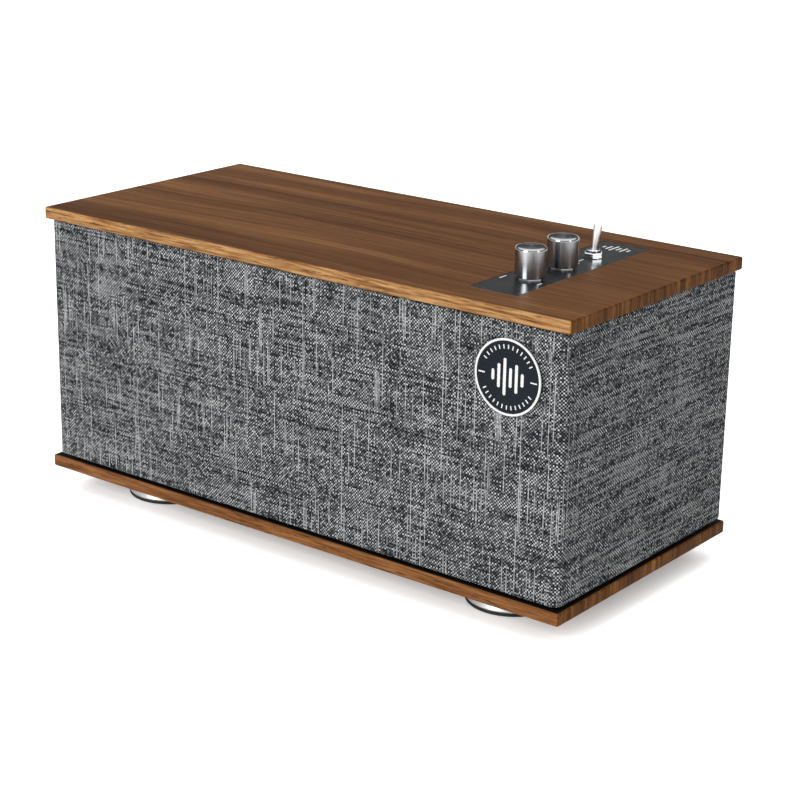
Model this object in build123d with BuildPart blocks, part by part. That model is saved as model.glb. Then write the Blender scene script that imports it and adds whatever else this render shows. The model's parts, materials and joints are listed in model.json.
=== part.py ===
"""Tabletop wireless speaker: two walnut boards, a black cabinet between them and a wrap-round cloth grille.

Millimetres. +Z is up, the front (badge side) faces -Y and the controls are towards +X. The origin is on
the surface that the feet stand on, under the centre of the two boards.
"""

import math
import os

from build123d import *

os.makedirs("parts", exist_ok=True)

# ---- cabinet -------------------------------------------------------------------------------------
FOOT_HEIGHT = 12.5
BOARD_LENGTH = 322.0
BOARD_DEPTH = 148.6
BOARD_THICK = 6.2
BOARD_CORNER = 1.3
BOARD_EDGE = 0.9
BODY_HEIGHT = 140.7  # underside of the bottom board to the top of the top board
TOP_Z = FOOT_HEIGHT + BODY_HEIGHT
INSIDE_LOW = FOOT_HEIGHT + BOARD_THICK
INSIDE_HIGH = TOP_Z - BOARD_THICK
INSIDE_TALL = INSIDE_HIGH - INSIDE_LOW
MID_Z = (INSIDE_LOW + INSIDE_HIGH) / 2

PANEL_THICK = 9.0
BAFFLE_Y = -58.0  # front face of the baffle
SIDE_X = 144.5  # outer face of each side panel
REAR_Y = 66.0  # inner face of the rear panel
REAR_THICK = 6.0
REAR_HALF_WIDTH = 153.7

# ---- grille --------------------------------------------------------------------------------------
GRILLE_X = 159.0  # outer face of the cloth, left and right
GRILLE_Y = 72.3  # outer face of the cloth, front, and where it ends at the rear
GRILLE_CORNER = 4.5
GRILLE_INNER_CORNER = 1.0
CLOTH_THICK = 0.8
GRILLE_WALL = 4.8  # cloth and frame together
GRILLE_LOW = INSIDE_LOW + 1.0
GRILLE_HIGH = INSIDE_HIGH - 0.5
GRILLE_MID = (GRILLE_LOW + GRILLE_HIGH) / 2
CELL_RIB = 4.5
FRONT_CELLS = (11, 4)
FRONT_PITCH = (26.5, 28.7)
SIDE_CELLS = (5, 4)
SIDE_PITCH = (25.5, 28.7)
SIDE_CELL_Y = 2.75
PEG_X = 130.0
PEG_DZ = 45.0
PEG_RADIUS = 3.0
PEG_BOSS_RADIUS = 5.0
PEG_PAD_RADIUS = 6.5
PEG_BAR = (30.0, 8.0)
PEG_FIT = 0.05

# ---- badge ---------------------------------------------------------------------------------------
BADGE_X = 129.0
BADGE_Z = FOOT_HEIGHT + 109.3
BADGE_RADIUS = 17.5
BADGE_THICK = 1.2
BADGE_RIM = 1.0
BADGE_PIN_RADIUS = 1.0
BADGE_PIN_X = 5.0

# ---- controls ------------------------------------------------------------------------------------
PLATE_X = 107.3
PLATE_WIDTH = 25.8
PLATE_LENGTH = 112.6
PLATE_THICK = 1.5
PLATE_SEAM = 0.2
PLATE_Z = TOP_Z - PLATE_THICK  # underside of the control plate
WINDOW = (20.0, 80.0)
VOLUME_Y = -26.5
SOURCE_Y = -0.5
TOGGLE_Y = 26.0
KNOB_RADIUS = 7.4
KNOB_HEIGHT = 14.1
KNOB_GAP = 0.9
KNOB_EDGE = 1.4
SHAFT_RADIUS = 3.0
BUSHING_RADIUS = 3.5
BUSHING_ABOVE = 3.0
BOARD_Z = 143.5  # upper face of the control board
CIRCUIT_THICK = 1.6

LEVER_PIVOT_Z = TOP_Z + 1.0
LEVER_LEAN = 13.0  # degrees from upright, towards the rear at rest
LEVER_LENGTH = 14.4
LEVER_TAIL = 7.6
ROCKER_Z = 146.0
ROCKER_LEAN = 8.0

# ---- speaker drivers -----------------------------------------------------------------------------
WOOFER_SCALE = 1.0
FULLRANGE_SCALE = 0.561
FULLRANGE_X = 96.0
FULLRANGE_FLANGE = 36.0
FLANGE_RADIUS = 57.0
FLANGE_THICK = 3.0
CUTOUT_RADIUS = 50.6
GASKET_THICK = 0.8
PASSIVE_SCALE = 0.93
PASSIVE_Y = 8.5
PASSIVE_FLANGE = 54.0
PASSIVE_SCREW_CIRCLE = 50.4
SCREW_CIRCLE = 53.4
FULLRANGE_SCREW_CIRCLE = 32.5
SCREW_RADIUS = 1.75
SCREW_LENGTH = 16.0
SCREW_HEAD_RADIUS = 3.0
SCREW_HEAD_THICK = 1.9

# ---- electronics ---------------------------------------------------------------------------------
AMP_Y = 52.0  # inner face of the amplifier board
AMP_X = (-40.0, 60.0)
AMP_Z = (28.0, 92.0)
SOCKET_Z = 40.0
POWER_X = -24.0
AUX_X = -2.0
AUX_BORE = 1.8
LEAD_RADIUS = 1.2
CABLE_RADIUS = 1.6
CONNECTOR_Z = 33.0
CONNECTOR_X = 26.0
CONNECTOR_DEEP = 6.0
CONTROL_PLUG_Y = 38.0
CONTROL_PLUG_DEEP = 3.0
AMP_PLUG = (4.0, 88.0)

# ---- feet ----------------------------------------------------------------------------------------
FOOT_X = 110.7
FOOT_Y = 37.0
PAD_THICK = 1.5
PAD_RADIUS = 22.0

foot_spots = [(x, y) for x in (-FOOT_X, FOOT_X) for y in (-FOOT_Y, FOOT_Y)]
peg_spots = [(x, z) for x in (-PEG_X, PEG_X) for z in (MID_Z - PEG_DZ, MID_Z + PEG_DZ)]


def front_place(x, z, y=BAFFLE_Y):
    """A plane on the front, its Z pointing forward out of the cabinet and its Y pointing up."""
    return Plane(origin=(x, y, z), x_dir=(1, 0, 0), z_dir=(0, -1, 0))


def rear_place(x, z, y=REAR_Y + REAR_THICK):
    """A plane on the rear, its Z pointing backward out of the cabinet and its Y pointing up."""
    return Plane(origin=(x, y, z), x_dir=(-1, 0, 0), z_dir=(0, 1, 0))


def side_place(sign, y=PASSIVE_Y, z=MID_Z):
    """A plane on a side panel, its Z pointing out of the cabinet and its Y pointing up."""
    return Plane(origin=(sign * SIDE_X, y, z), x_dir=(0, sign, 0), z_dir=(sign, 0, 0))


woofer_place = front_place(0, MID_Z)
fullrange_places = {"left": front_place(-FULLRANGE_X, MID_Z), "right": front_place(FULLRANGE_X, MID_Z)}
passive_places = {"left": side_place(-1), "right": side_place(1)}


def turned(outline):
    """A solid of revolution about Z from a closed outline of (radius, height) points."""
    with BuildPart() as piece:
        with BuildSketch(Plane.XZ):
            with BuildLine():
                Polyline(*outline, close=True)
            make_face()
        revolve(axis=Axis.Z)
    return piece.part


def ring(outer, inner, low, high):
    """A plain ring or tube about Z."""
    return turned([(inner, low), (outer, low), (outer, high), (inner, high)])


# ==== boards ======================================================================================
with BuildPart() as bottom_board:
    with BuildSketch(Plane.XY.offset(FOOT_HEIGHT)):
        RectangleRounded(BOARD_LENGTH, BOARD_DEPTH, BOARD_CORNER)
    extrude(amount=BOARD_THICK)
    fillet(bottom_board.faces().filter_by(Axis.Z).edges(), radius=BOARD_EDGE)
    # Pilot holes for the foot screws, from below
    with BuildSketch(Plane.XY.offset(FOOT_HEIGHT)):
        with Locations(*foot_spots):
            Circle(2.05)
    extrude(amount=5.2, mode=Mode.SUBTRACT)
bottom_board.part.label = "bottom_board"
export_step(bottom_board.part, "parts/bottom_board.step")

with BuildPart() as top_board:
    with BuildSketch(Plane.XY.offset(INSIDE_HIGH)):
        RectangleRounded(BOARD_LENGTH, BOARD_DEPTH, BOARD_CORNER)
    extrude(amount=BOARD_THICK)
    fillet(top_board.faces().filter_by(Axis.Z).edges(), radius=BOARD_EDGE)
    # Recess that the control plate lies in
    with BuildSketch(Plane.XY.offset(PLATE_Z)):
        with Locations((PLATE_X, 0)):
            Rectangle(PLATE_WIDTH + 2 * PLATE_SEAM, PLATE_LENGTH + 2 * PLATE_SEAM)
    extrude(amount=PLATE_THICK, mode=Mode.SUBTRACT)
    # Window under the plate for the controls
    with BuildSketch(Plane.XY.offset(INSIDE_HIGH)):
        with Locations((PLATE_X, 0)):
            RectangleRounded(*WINDOW, 3.0)
    extrude(amount=BOARD_THICK, mode=Mode.SUBTRACT)
top_board.part.label = "top_board"
export_step(top_board.part, "parts/top_board.step")

# ==== cabinet panels ==============================================================================
def driver_seat(flange, screw_circle, cutout):
    """Cut a driver's rebate, its cutout and four pilot holes at the current location."""
    CounterBoreHole(radius=cutout, counter_bore_radius=flange + 0.3,
                    counter_bore_depth=FLANGE_THICK + GASKET_THICK, depth=PANEL_THICK)
    with PolarLocations(screw_circle, 4, start_angle=45):
        Hole(radius=SCREW_RADIUS + 0.05, depth=PANEL_THICK)


with BuildPart() as front_baffle:
    with BuildSketch(Plane.XZ.offset(-BAFFLE_Y - PANEL_THICK)):
        with Locations((0, MID_Z)):
            Rectangle(2 * SIDE_X, INSIDE_TALL)
    extrude(amount=PANEL_THICK)
    with Locations(woofer_place):
        driver_seat(FLANGE_RADIUS, SCREW_CIRCLE, CUTOUT_RADIUS)
    with Locations(*fullrange_places.values()):
        driver_seat(FULLRANGE_FLANGE, FULLRANGE_SCREW_CIRCLE, CUTOUT_RADIUS * FULLRANGE_SCALE)
    with Locations(*[front_place(x, z) for x, z in peg_spots]):
        Hole(radius=PEG_BOSS_RADIUS + 0.02, depth=PANEL_THICK)
front_baffle.part.label = "front_baffle"
export_step(front_baffle.part, "parts/front_baffle.step")

panel_front = BAFFLE_Y + PANEL_THICK
rear_screw_z = (MID_Z - 50, MID_Z + 50)
rear_screw_x = SIDE_X - PANEL_THICK / 2

with BuildPart() as side_panels:
    for sign in (-1, 1):
        with BuildSketch(Plane.YZ.offset(sign * (SIDE_X - PANEL_THICK / 2))):
            with Locations(((panel_front + REAR_Y) / 2, MID_Z)):
                Rectangle(REAR_Y - panel_front, INSIDE_TALL)
        extrude(amount=PANEL_THICK / 2, both=True)
    with Locations(*passive_places.values()):
        driver_seat(PASSIVE_FLANGE, PASSIVE_SCREW_CIRCLE, CUTOUT_RADIUS * PASSIVE_SCALE)
    # Pilot holes for the rear panel's screws
    with Locations(*[rear_place(x, z, REAR_Y) for x in (-rear_screw_x, rear_screw_x) for z in rear_screw_z]):
        Hole(radius=SCREW_RADIUS + 0.05, depth=SCREW_LENGTH - REAR_THICK + 0.5)
side_panels.part.label = "side_panels"
export_step(side_panels.part, "parts/side_panels.step")

amp_boss_spots = [(x, z) for x in (AMP_X[0] + 4, AMP_X[1] - 4) for z in (AMP_Z[0] + 4, AMP_Z[1] - 4)]
amp_back = AMP_Y + CIRCUIT_THICK

with BuildPart() as rear_panel:
    with BuildSketch(Plane.XZ.offset(-REAR_Y - REAR_THICK)):
        with Locations((0, MID_Z)):
            RectangleRounded(2 * REAR_HALF_WIDTH, INSIDE_TALL - 0.4, 2.0)
    extrude(amount=REAR_THICK)
    # Pillars that carry the amplifier board
    with BuildSketch(Plane.XZ.offset(-REAR_Y)):
        with Locations(*amp_boss_spots):
            Circle(3.5)
    extrude(amount=REAR_Y - amp_back)
    with Locations(*[front_place(x, z, amp_back) for x, z in amp_boss_spots]):
        Hole(radius=1.3, depth=9.0)
    # Shallow dish round the sockets
    with BuildSketch(rear_place((POWER_X + AUX_X) / 2, SOCKET_Z)):
        RectangleRounded(48, 24, 5)
    extrude(amount=-2.0, mode=Mode.SUBTRACT)
    with Locations(rear_place(POWER_X, SOCKET_Z)):
        Hole(radius=4.65, depth=REAR_THICK)
    with Locations(rear_place(AUX_X, SOCKET_Z)):
        Hole(radius=3.95, depth=REAR_THICK)
    with Locations(*[rear_place(x, z) for x in (-rear_screw_x, rear_screw_x) for z in rear_screw_z]):
        Hole(radius=SCREW_RADIUS + 0.2, depth=REAR_THICK)
rear_panel.part.label = "rear_panel"
export_step(rear_panel.part, "parts/rear_panel.step")

# ==== grille ======================================================================================
def grille_plan(skin):
    """Plan of the grille, a U open to the rear, whose outer face lies `skin` inside the cloth's."""
    with BuildSketch() as plan:
        Rectangle(2 * (GRILLE_X - skin), 2 * (GRILLE_Y - skin))
        fillet(plan.vertices().group_by(Axis.Y)[0], radius=GRILLE_CORNER - skin)
        with BuildSketch(mode=Mode.SUBTRACT) as cabinet_space:
            with Locations((0, GRILLE_WALL - GRILLE_Y)):
                Rectangle(2 * (GRILLE_X - GRILLE_WALL), 3 * GRILLE_Y, align=(Align.CENTER, Align.MIN))
            fillet(cabinet_space.vertices().group_by(Axis.Y)[0], radius=GRILLE_INNER_CORNER)
    return plan.sketch


frame_inner_y = GRILLE_WALL - GRILLE_Y
frame_outer_y = CLOTH_THICK - GRILLE_Y
frame_low = GRILLE_LOW + CLOTH_THICK
frame_high = GRILLE_HIGH - CLOTH_THICK
badge_pin_spots = [(BADGE_X - BADGE_PIN_X, BADGE_Z), (BADGE_X + BADGE_PIN_X, BADGE_Z)]
corner_joint = Plane.XZ.offset(-(frame_inner_y + GRILLE_INNER_CORNER))

with BuildPart() as grille_frame:
    with BuildSketch(Plane.XY.offset(frame_low)):
        add(grille_plan(CLOTH_THICK))
    extrude(amount=frame_high - frame_low)
    # Open cells behind the cloth, on the front and on both sides
    with BuildSketch(Plane.XZ):
        with Locations((0, GRILLE_MID)):
            with GridLocations(*FRONT_PITCH, *FRONT_CELLS):
                RectangleRounded(FRONT_PITCH[0] - CELL_RIB, FRONT_PITCH[1] - CELL_RIB, 2.5)
    extrude(amount=GRILLE_Y, mode=Mode.SUBTRACT)
    with BuildSketch(Plane.YZ):
        with Locations((SIDE_CELL_Y, GRILLE_MID)):
            with GridLocations(*SIDE_PITCH, *SIDE_CELLS):
                RectangleRounded(SIDE_PITCH[0] - CELL_RIB, SIDE_PITCH[1] - CELL_RIB, 2.5)
    extrude(amount=GRILLE_X, both=True, mode=Mode.SUBTRACT)
    # Solid pads behind the badge and the pegs, each peg's on a bar across its cell
    with BuildSketch(Plane.XZ.offset(-frame_inner_y)):
        with Locations((BADGE_X, BADGE_Z)):
            Circle(9.0)
        with Locations(*peg_spots):
            Circle(PEG_PAD_RADIUS)
            Rectangle(*PEG_BAR)
    extrude(amount=frame_inner_y - frame_outer_y)
    with Locations(*[front_place(x, z, frame_outer_y) for x, z in badge_pin_spots]):
        Hole(radius=BADGE_PIN_RADIUS + 0.05, depth=frame_inner_y - frame_outer_y)
    # A front moulding and two side mouldings, bonded just behind the front corners
    split(bisect_by=corner_joint, keep=Keep.BOTH)
grille_frame.part.label = "grille_frame"
export_step(grille_frame.part, "parts/grille_frame.step")

with BuildPart() as grille_cloth:
    with BuildSketch(Plane.XY.offset(GRILLE_LOW)):
        add(grille_plan(0))
    extrude(amount=GRILLE_HIGH - GRILLE_LOW)
    with BuildSketch(Plane.XY.offset(frame_low)):
        add(grille_plan(CLOTH_THICK))
    extrude(amount=frame_high - frame_low, mode=Mode.SUBTRACT)
    with Locations(*[front_place(x, z, -GRILLE_Y) for x, z in badge_pin_spots]):
        Hole(radius=BADGE_PIN_RADIUS + 0.05, depth=CLOTH_THICK)
    split(bisect_by=corner_joint, keep=Keep.BOTH)
grille_cloth.part.label = "grille_cloth"
export_step(grille_cloth.part, "parts/grille_cloth.step")

peg_boss_end = 0.3
peg_tip = -8.5
frame_gap = BAFFLE_Y - frame_inner_y
peg_shape = turned([
    (0, peg_tip), (PEG_RADIUS - 0.8, peg_tip), (PEG_RADIUS, peg_tip + 0.8), (PEG_RADIUS, peg_boss_end),
    (PEG_BOSS_RADIUS, peg_boss_end), (PEG_BOSS_RADIUS, frame_gap), (0, frame_gap),
])
with BuildPart() as grille_pegs:
    with Locations(*[front_place(x, z) for x, z in peg_spots]):
        add(peg_shape)
grille_pegs.part.label = "grille_pegs"
export_step(grille_pegs.part, "parts/grille_pegs.step")

cup_shape = ring(PEG_BOSS_RADIUS, PEG_RADIUS + PEG_FIT, -PANEL_THICK, -0.2)
with BuildPart() as peg_cups:
    with Locations(*[front_place(x, z) for x, z in peg_spots]):
        add(cup_shape)
peg_cups.part.label = "peg_cups"
export_step(peg_cups.part, "parts/peg_cups.step")

# ==== badge =======================================================================================
badge_place = front_place(BADGE_X, BADGE_Z, -GRILLE_Y)
BADGE_INLAY = 0.4
BADGE_PROUD = 0.1
TICK_RADIUS = 13.8
TICK_SIZE = (1.9, 0.55)
TICK_STEP = 10
TICK_CLEAR = 20  # degrees left free on each side of the two long dashes
DASH_SIZE = (3.4, 0.6)
BAR_HEIGHTS = (5.0, 11.0, 17.0, 9.0, 13.0, 6.0)
BAR_WIDTH = 1.5
BAR_PITCH = 3.1


def badge_art():
    """Generic marks: six rounded bars, two long dashes and a circle of short ticks."""
    with BuildSketch() as art:
        for i, height in enumerate(BAR_HEIGHTS):
            with Locations(((i - (len(BAR_HEIGHTS) - 1) / 2) * BAR_PITCH, 0)):
                SlotOverall(height, BAR_WIDTH, rotation=90)
        with Locations((-TICK_RADIUS, 0), (TICK_RADIUS, 0)):
            Rectangle(*DASH_SIZE)
        for angle in range(0, 360, TICK_STEP):
            if min(angle % 180, 180 - angle % 180) > TICK_CLEAR:
                with PolarLocations(TICK_RADIUS, 1, start_angle=angle):
                    Rectangle(*TICK_SIZE)
    return art.sketch


with BuildPart() as badge_at_origin:
    Cylinder(BADGE_RADIUS, BADGE_THICK, align=(Align.CENTER, Align.CENTER, Align.MIN))
    with BuildSketch(Plane.XY.offset(BADGE_THICK)):
        Circle(BADGE_RADIUS)
        Circle(BADGE_RADIUS - BADGE_RIM, mode=Mode.SUBTRACT)
        add(badge_art())
    extrude(amount=-BADGE_INLAY, mode=Mode.SUBTRACT)
    # Pins that hold it, through the cloth and the frame
    with BuildSketch():
        with Locations((-BADGE_PIN_X, 0), (BADGE_PIN_X, 0)):
            Circle(BADGE_PIN_RADIUS)
    extrude(amount=-GRILLE_WALL)

with BuildPart() as badge_disc:
    with Locations(badge_place):
        add(badge_at_origin.part)
badge_disc.part.label = "badge_disc"
export_step(badge_disc.part, "parts/badge_disc.step")

with BuildPart() as marks_at_origin:
    with BuildSketch(Plane.XY.offset(BADGE_THICK - BADGE_INLAY)):
        Circle(BADGE_RADIUS)
        Circle(BADGE_RADIUS - BADGE_RIM, mode=Mode.SUBTRACT)
        add(badge_art())
    extrude(amount=BADGE_INLAY + BADGE_PROUD)

with BuildPart() as badge_marks:
    with Locations(badge_place):
        add(marks_at_origin.part)
badge_marks.part.label = "badge_marks"
export_step(badge_marks.part, "parts/badge_marks.step")

# ==== control plate ===============================================================================
LEGEND_DEEP = 0.3
LEGEND_WIDTH = 0.8
# Short dashes beside the volume knob and between the source knob and the toggle: (x, y, length)
legend_dashes = [
    (PLATE_X - 10.9, VOLUME_Y - 6, 5.6), (PLATE_X + 9.4, VOLUME_Y - 6.2, 3.6),
    (PLATE_X - 0.6, TOGGLE_Y - 9.6, 4.2), (PLATE_X + 1.5, TOGGLE_Y - 15.7, 3.0),
]
legend_bars = [3.2, 6.4, 9.6, 5.2, 7.6, 3.6]  # a small copy of the badge's bars, behind the toggle
LEGEND_BAR_Y = 46.5
LEGEND_BAR_PITCH = 2.7


def legend_art():
    """Plan of the marks let into the control plate."""
    with BuildSketch() as art:
        for x, y, length in legend_dashes:
            with Locations((x, y)):
                SlotOverall(length, LEGEND_WIDTH, rotation=90)
        for i, height in enumerate(legend_bars):
            with Locations((PLATE_X + (i - (len(legend_bars) - 1) / 2) * LEGEND_BAR_PITCH, LEGEND_BAR_Y)):
                SlotOverall(height, LEGEND_WIDTH * 1.3, rotation=90)
    return art.sketch


with BuildPart() as control_plate:
    with BuildSketch(Plane.XY.offset(PLATE_Z)):
        with Locations((PLATE_X, 0)):
            Rectangle(PLATE_WIDTH, PLATE_LENGTH)
    extrude(amount=PLATE_THICK)
    chamfer(control_plate.faces().sort_by(Axis.Z)[-1].edges(), length=0.15)
    with Locations((PLATE_X, VOLUME_Y, TOP_Z), (PLATE_X, SOURCE_Y, TOP_Z)):
        Hole(radius=BUSHING_RADIUS + 0.1, depth=PLATE_THICK)
    with Locations((PLATE_X, TOGGLE_Y, TOP_Z)):
        Hole(radius=3.25, depth=PLATE_THICK)
    with BuildSketch(Plane.XY.offset(TOP_Z - LEGEND_DEEP)):
        add(legend_art())
    extrude(amount=LEGEND_DEEP, mode=Mode.SUBTRACT)
control_plate.part.label = "control_plate"
export_step(control_plate.part, "parts/control_plate.step")

with BuildPart() as plate_legend:
    with BuildSketch(Plane.XY.offset(TOP_Z - LEGEND_DEEP)):
        add(legend_art())
    extrude(amount=LEGEND_DEEP)
plate_legend.part.label = "plate_legend"
export_step(plate_legend.part, "parts/plate_legend.step")

# ==== volume and source controls ==================================================================
knob_low = TOP_Z + KNOB_GAP
knob_high = knob_low + KNOB_HEIGHT
knob_recess = knob_low + 3.2
shaft_top = knob_high - 3.0
bushing_top = TOP_Z + BUSHING_ABOVE
cavity_high = PLATE_Z - 1.5
HOUSING = (13.0, 16.5)
CAVITY_RADIUS = 6.0
ROTOR_RADIUS = 5.6
SHAFT_FIT = 0.05
D_FLAT = 1.2  # how far the shaft's flat is cut in
D_LENGTH = 8.0


def control_housing(y):
    """A control's housing with its threaded bushing, open to the board below."""
    with BuildPart() as housing:
        with BuildSketch(Plane.XY.offset(BOARD_Z)):
            with Locations((PLATE_X, y)):
                RectangleRounded(*HOUSING, 1.0)
        extrude(amount=PLATE_Z - BOARD_Z)
        with BuildSketch(Plane.XY.offset(PLATE_Z)):
            with Locations((PLATE_X, y)):
                Circle(BUSHING_RADIUS)
        extrude(amount=bushing_top - PLATE_Z)
        with BuildSketch(Plane.XY.offset(BOARD_Z)):
            with Locations((PLATE_X, y)):
                Circle(CAVITY_RADIUS)
        extrude(amount=cavity_high - BOARD_Z, mode=Mode.SUBTRACT)
        with Locations((PLATE_X, y, bushing_top)):
            Hole(radius=SHAFT_RADIUS + SHAFT_FIT)
    return housing.part


def control_shaft(y, rotor_low, rotor_high):
    """A control's shaft: a rotor in the housing and a flat at the top, where the knob is."""
    with BuildPart() as shaft:
        with BuildSketch(Plane.XY.offset(rotor_low)):
            with Locations((PLATE_X, y)):
                Circle(ROTOR_RADIUS)
        extrude(amount=rotor_high - rotor_low)
        with BuildSketch(Plane.XY.offset(rotor_high)):
            with Locations((PLATE_X, y)):
                Circle(SHAFT_RADIUS)
        extrude(amount=shaft_top - rotor_high)
        with BuildSketch(Plane.XY.offset(shaft_top - D_LENGTH)):
            with Locations((PLATE_X, y - SHAFT_RADIUS)):
                Rectangle(4 * SHAFT_RADIUS, 2 * D_FLAT)
        extrude(amount=D_LENGTH, mode=Mode.SUBTRACT)
    return shaft.part


def control_knob(y):
    """A turned knob, hollow below over the bushing's nut, with a D-shaped bore."""
    with BuildPart() as knob:
        with BuildSketch(Plane.XY.offset(knob_low)):
            with Locations((PLATE_X, y)):
                Circle(KNOB_RADIUS)
        extrude(amount=KNOB_HEIGHT)
        fillet(knob.edges().sort_by(Axis.Z)[-1], radius=KNOB_EDGE)
        chamfer(knob.edges().sort_by(Axis.Z)[0], length=0.3)
        with BuildSketch(Plane.XY.offset(knob_low)):
            with Locations((PLATE_X, y)):
                Circle(6.4)
        extrude(amount=knob_recess - knob_low, mode=Mode.SUBTRACT)
        with BuildSketch(Plane.XY.offset(knob_low)):
            with Locations((PLATE_X, y)):
                Circle(SHAFT_RADIUS + 0.02)
            with Locations((PLATE_X, y - SHAFT_RADIUS)):
                Rectangle(4 * SHAFT_RADIUS, 2 * D_FLAT - 0.04, mode=Mode.SUBTRACT)
        extrude(amount=shaft_top - knob_low + 0.02, mode=Mode.SUBTRACT)
        # Round bore below the flat, where the shaft is still round
        with BuildSketch(Plane.XY.offset(knob_low)):
            with Locations((PLATE_X, y)):
                Circle(SHAFT_RADIUS + 0.02)
        extrude(amount=shaft_top - D_LENGTH - knob_low + 0.02, mode=Mode.SUBTRACT)
    return knob.part


with BuildPart() as volume_pot_housing:
    add(control_housing(VOLUME_Y))
volume_pot_housing.part.label = "volume_pot_housing"
export_step(volume_pot_housing.part, "parts/volume_pot_housing.step")

with BuildPart() as volume_pot_shaft:
    add(control_shaft(VOLUME_Y, 146.8, cavity_high - 0.3))
volume_pot_shaft.part.label = "volume_pot_shaft"
export_step(volume_pot_shaft.part, "parts/volume_pot_shaft.step")

with BuildPart() as volume_knob:
    add(control_knob(VOLUME_Y))
volume_knob.part.label = "volume_knob"
export_step(volume_knob.part, "parts/volume_knob.step")

PUSH_TRAVEL = 0.5
plunger_low = BOARD_Z + PUSH_TRAVEL + 0.2
plunger_high = 147.0

with BuildPart() as source_encoder_housing:
    add(control_housing(SOURCE_Y))
source_encoder_housing.part.label = "source_encoder_housing"
export_step(source_encoder_housing.part, "parts/source_encoder_housing.step")

with BuildPart() as source_encoder_plunger:
    with BuildSketch(Plane.XY.offset(plunger_low)):
        with Locations((PLATE_X, SOURCE_Y)):
            Circle(2.0)
    extrude(amount=plunger_high - plunger_low)
    with BuildSketch(Plane.XY.offset(plunger_high - 1.0)):
        with Locations((PLATE_X, SOURCE_Y)):
            Circle(4.5)
    extrude(amount=1.0)
source_encoder_plunger.part.label = "source_encoder_plunger"
export_step(source_encoder_plunger.part, "parts/source_encoder_plunger.step")

with BuildPart() as source_encoder_shaft:
    add(control_shaft(SOURCE_Y, plunger_high, cavity_high - 0.3))
source_encoder_shaft.part.label = "source_encoder_shaft"
export_step(source_encoder_shaft.part, "parts/source_encoder_shaft.step")

with BuildPart() as source_knob:
    add(control_knob(SOURCE_Y))
source_knob.part.label = "source_knob"
export_step(source_knob.part, "parts/source_knob.step")

with BuildPart() as control_nuts:
    with BuildSketch(Plane.XY.offset(TOP_Z)):
        with Locations((PLATE_X, VOLUME_Y), (PLATE_X, SOURCE_Y)):
            RegularPolygon(5.0, 6, major_radius=False)
            Circle(BUSHING_RADIUS + 0.05, mode=Mode.SUBTRACT)
    extrude(amount=2.0)
control_nuts.part.label = "control_nuts"
export_step(control_nuts.part, "parts/control_nuts.step")

# ==== toggle switch ===============================================================================
TOGGLE_BUSHING_RADIUS = 3.175
TOGGLE_BODY = (7.0, 12.0)
TOGGLE_WALL = 1.0
BALL_RADIUS = 2.2
BALL_SEAT = 2.35
PIVOT_PIN_RADIUS = 0.5
PIVOT_FIT = 0.05
WASHER_THICK = 0.5
NUT_THICK = 1.9
toggle_spot = (PLATE_X, TOGGLE_Y)
toggle_top = TOP_Z + 3.7

with BuildPart() as toggle_bushing:
    with BuildSketch(Plane.XY.offset(PLATE_Z)):
        with Locations(toggle_spot):
            Circle(TOGGLE_BUSHING_RADIUS)
    extrude(amount=toggle_top - PLATE_Z)
    fillet(toggle_bushing.edges().sort_by(Axis.Z)[-1], radius=0.5)
    with BuildSketch(Plane.XY.offset(PLATE_Z)):
        with Locations(toggle_spot):
            Circle(BALL_SEAT)
    extrude(amount=toggle_top - PLATE_Z, mode=Mode.SUBTRACT)
    # Cross pin that the lever turns on
    with Locations((PLATE_X, TOGGLE_Y, LEVER_PIVOT_Z)):
        Cylinder(PIVOT_PIN_RADIUS, BALL_SEAT + TOGGLE_BUSHING_RADIUS, rotation=(0, 90, 0))
toggle_bushing.part.label = "toggle_bushing"
export_step(toggle_bushing.part, "parts/toggle_bushing.step")

with BuildPart() as toggle_washer:
    with BuildSketch(Plane.XY.offset(TOP_Z)):
        with Locations(toggle_spot):
            Circle(4.9)
            Circle(TOGGLE_BUSHING_RADIUS + 0.1, mode=Mode.SUBTRACT)
    extrude(amount=WASHER_THICK)
toggle_washer.part.label = "toggle_washer"
export_step(toggle_washer.part, "parts/toggle_washer.step")

with BuildPart() as toggle_nut:
    with BuildSketch(Plane.XY.offset(TOP_Z + WASHER_THICK)):
        with Locations(toggle_spot):
            RegularPolygon(4.0, 6, major_radius=False)
    extrude(amount=NUT_THICK)
    chamfer(toggle_nut.faces().sort_by(Axis.Z)[-1].edges(), length=0.3)
    with BuildSketch(Plane.XY.offset(TOP_Z + WASHER_THICK)):
        with Locations(toggle_spot):
            Circle(TOGGLE_BUSHING_RADIUS + 0.05)
    extrude(amount=NUT_THICK, mode=Mode.SUBTRACT)
toggle_nut.part.label = "toggle_nut"
export_step(toggle_nut.part, "parts/toggle_nut.step")

with BuildPart() as toggle_body:
    with BuildSketch(Plane.XY.offset(BOARD_Z)):
        with Locations(toggle_spot):
            RectangleRounded(*TOGGLE_BODY, 0.6)
    extrude(amount=PLATE_Z - BOARD_Z)
    with BuildSketch(Plane.XY.offset(BOARD_Z + TOGGLE_WALL)):
        with Locations(toggle_spot):
            Rectangle(TOGGLE_BODY[0] - 2 * TOGGLE_WALL, TOGGLE_BODY[1] - 2 * TOGGLE_WALL)
    extrude(amount=PLATE_Z - BOARD_Z - 2 * TOGGLE_WALL, mode=Mode.SUBTRACT)
    with BuildSketch(Plane.XY.offset(PLATE_Z - TOGGLE_WALL)):
        with Locations(toggle_spot):
            Circle(BALL_SEAT)
    extrude(amount=TOGGLE_WALL, mode=Mode.SUBTRACT)
    # Slots in the floor for the three lugs
    with BuildSketch(Plane.XY.offset(BOARD_Z)):
        with Locations(toggle_spot):
            with GridLocations(1, 4.0, 1, 3):
                Rectangle(2.1, 0.9)
    extrude(amount=TOGGLE_WALL, mode=Mode.SUBTRACT)
toggle_body.part.label = "toggle_body"
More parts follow.
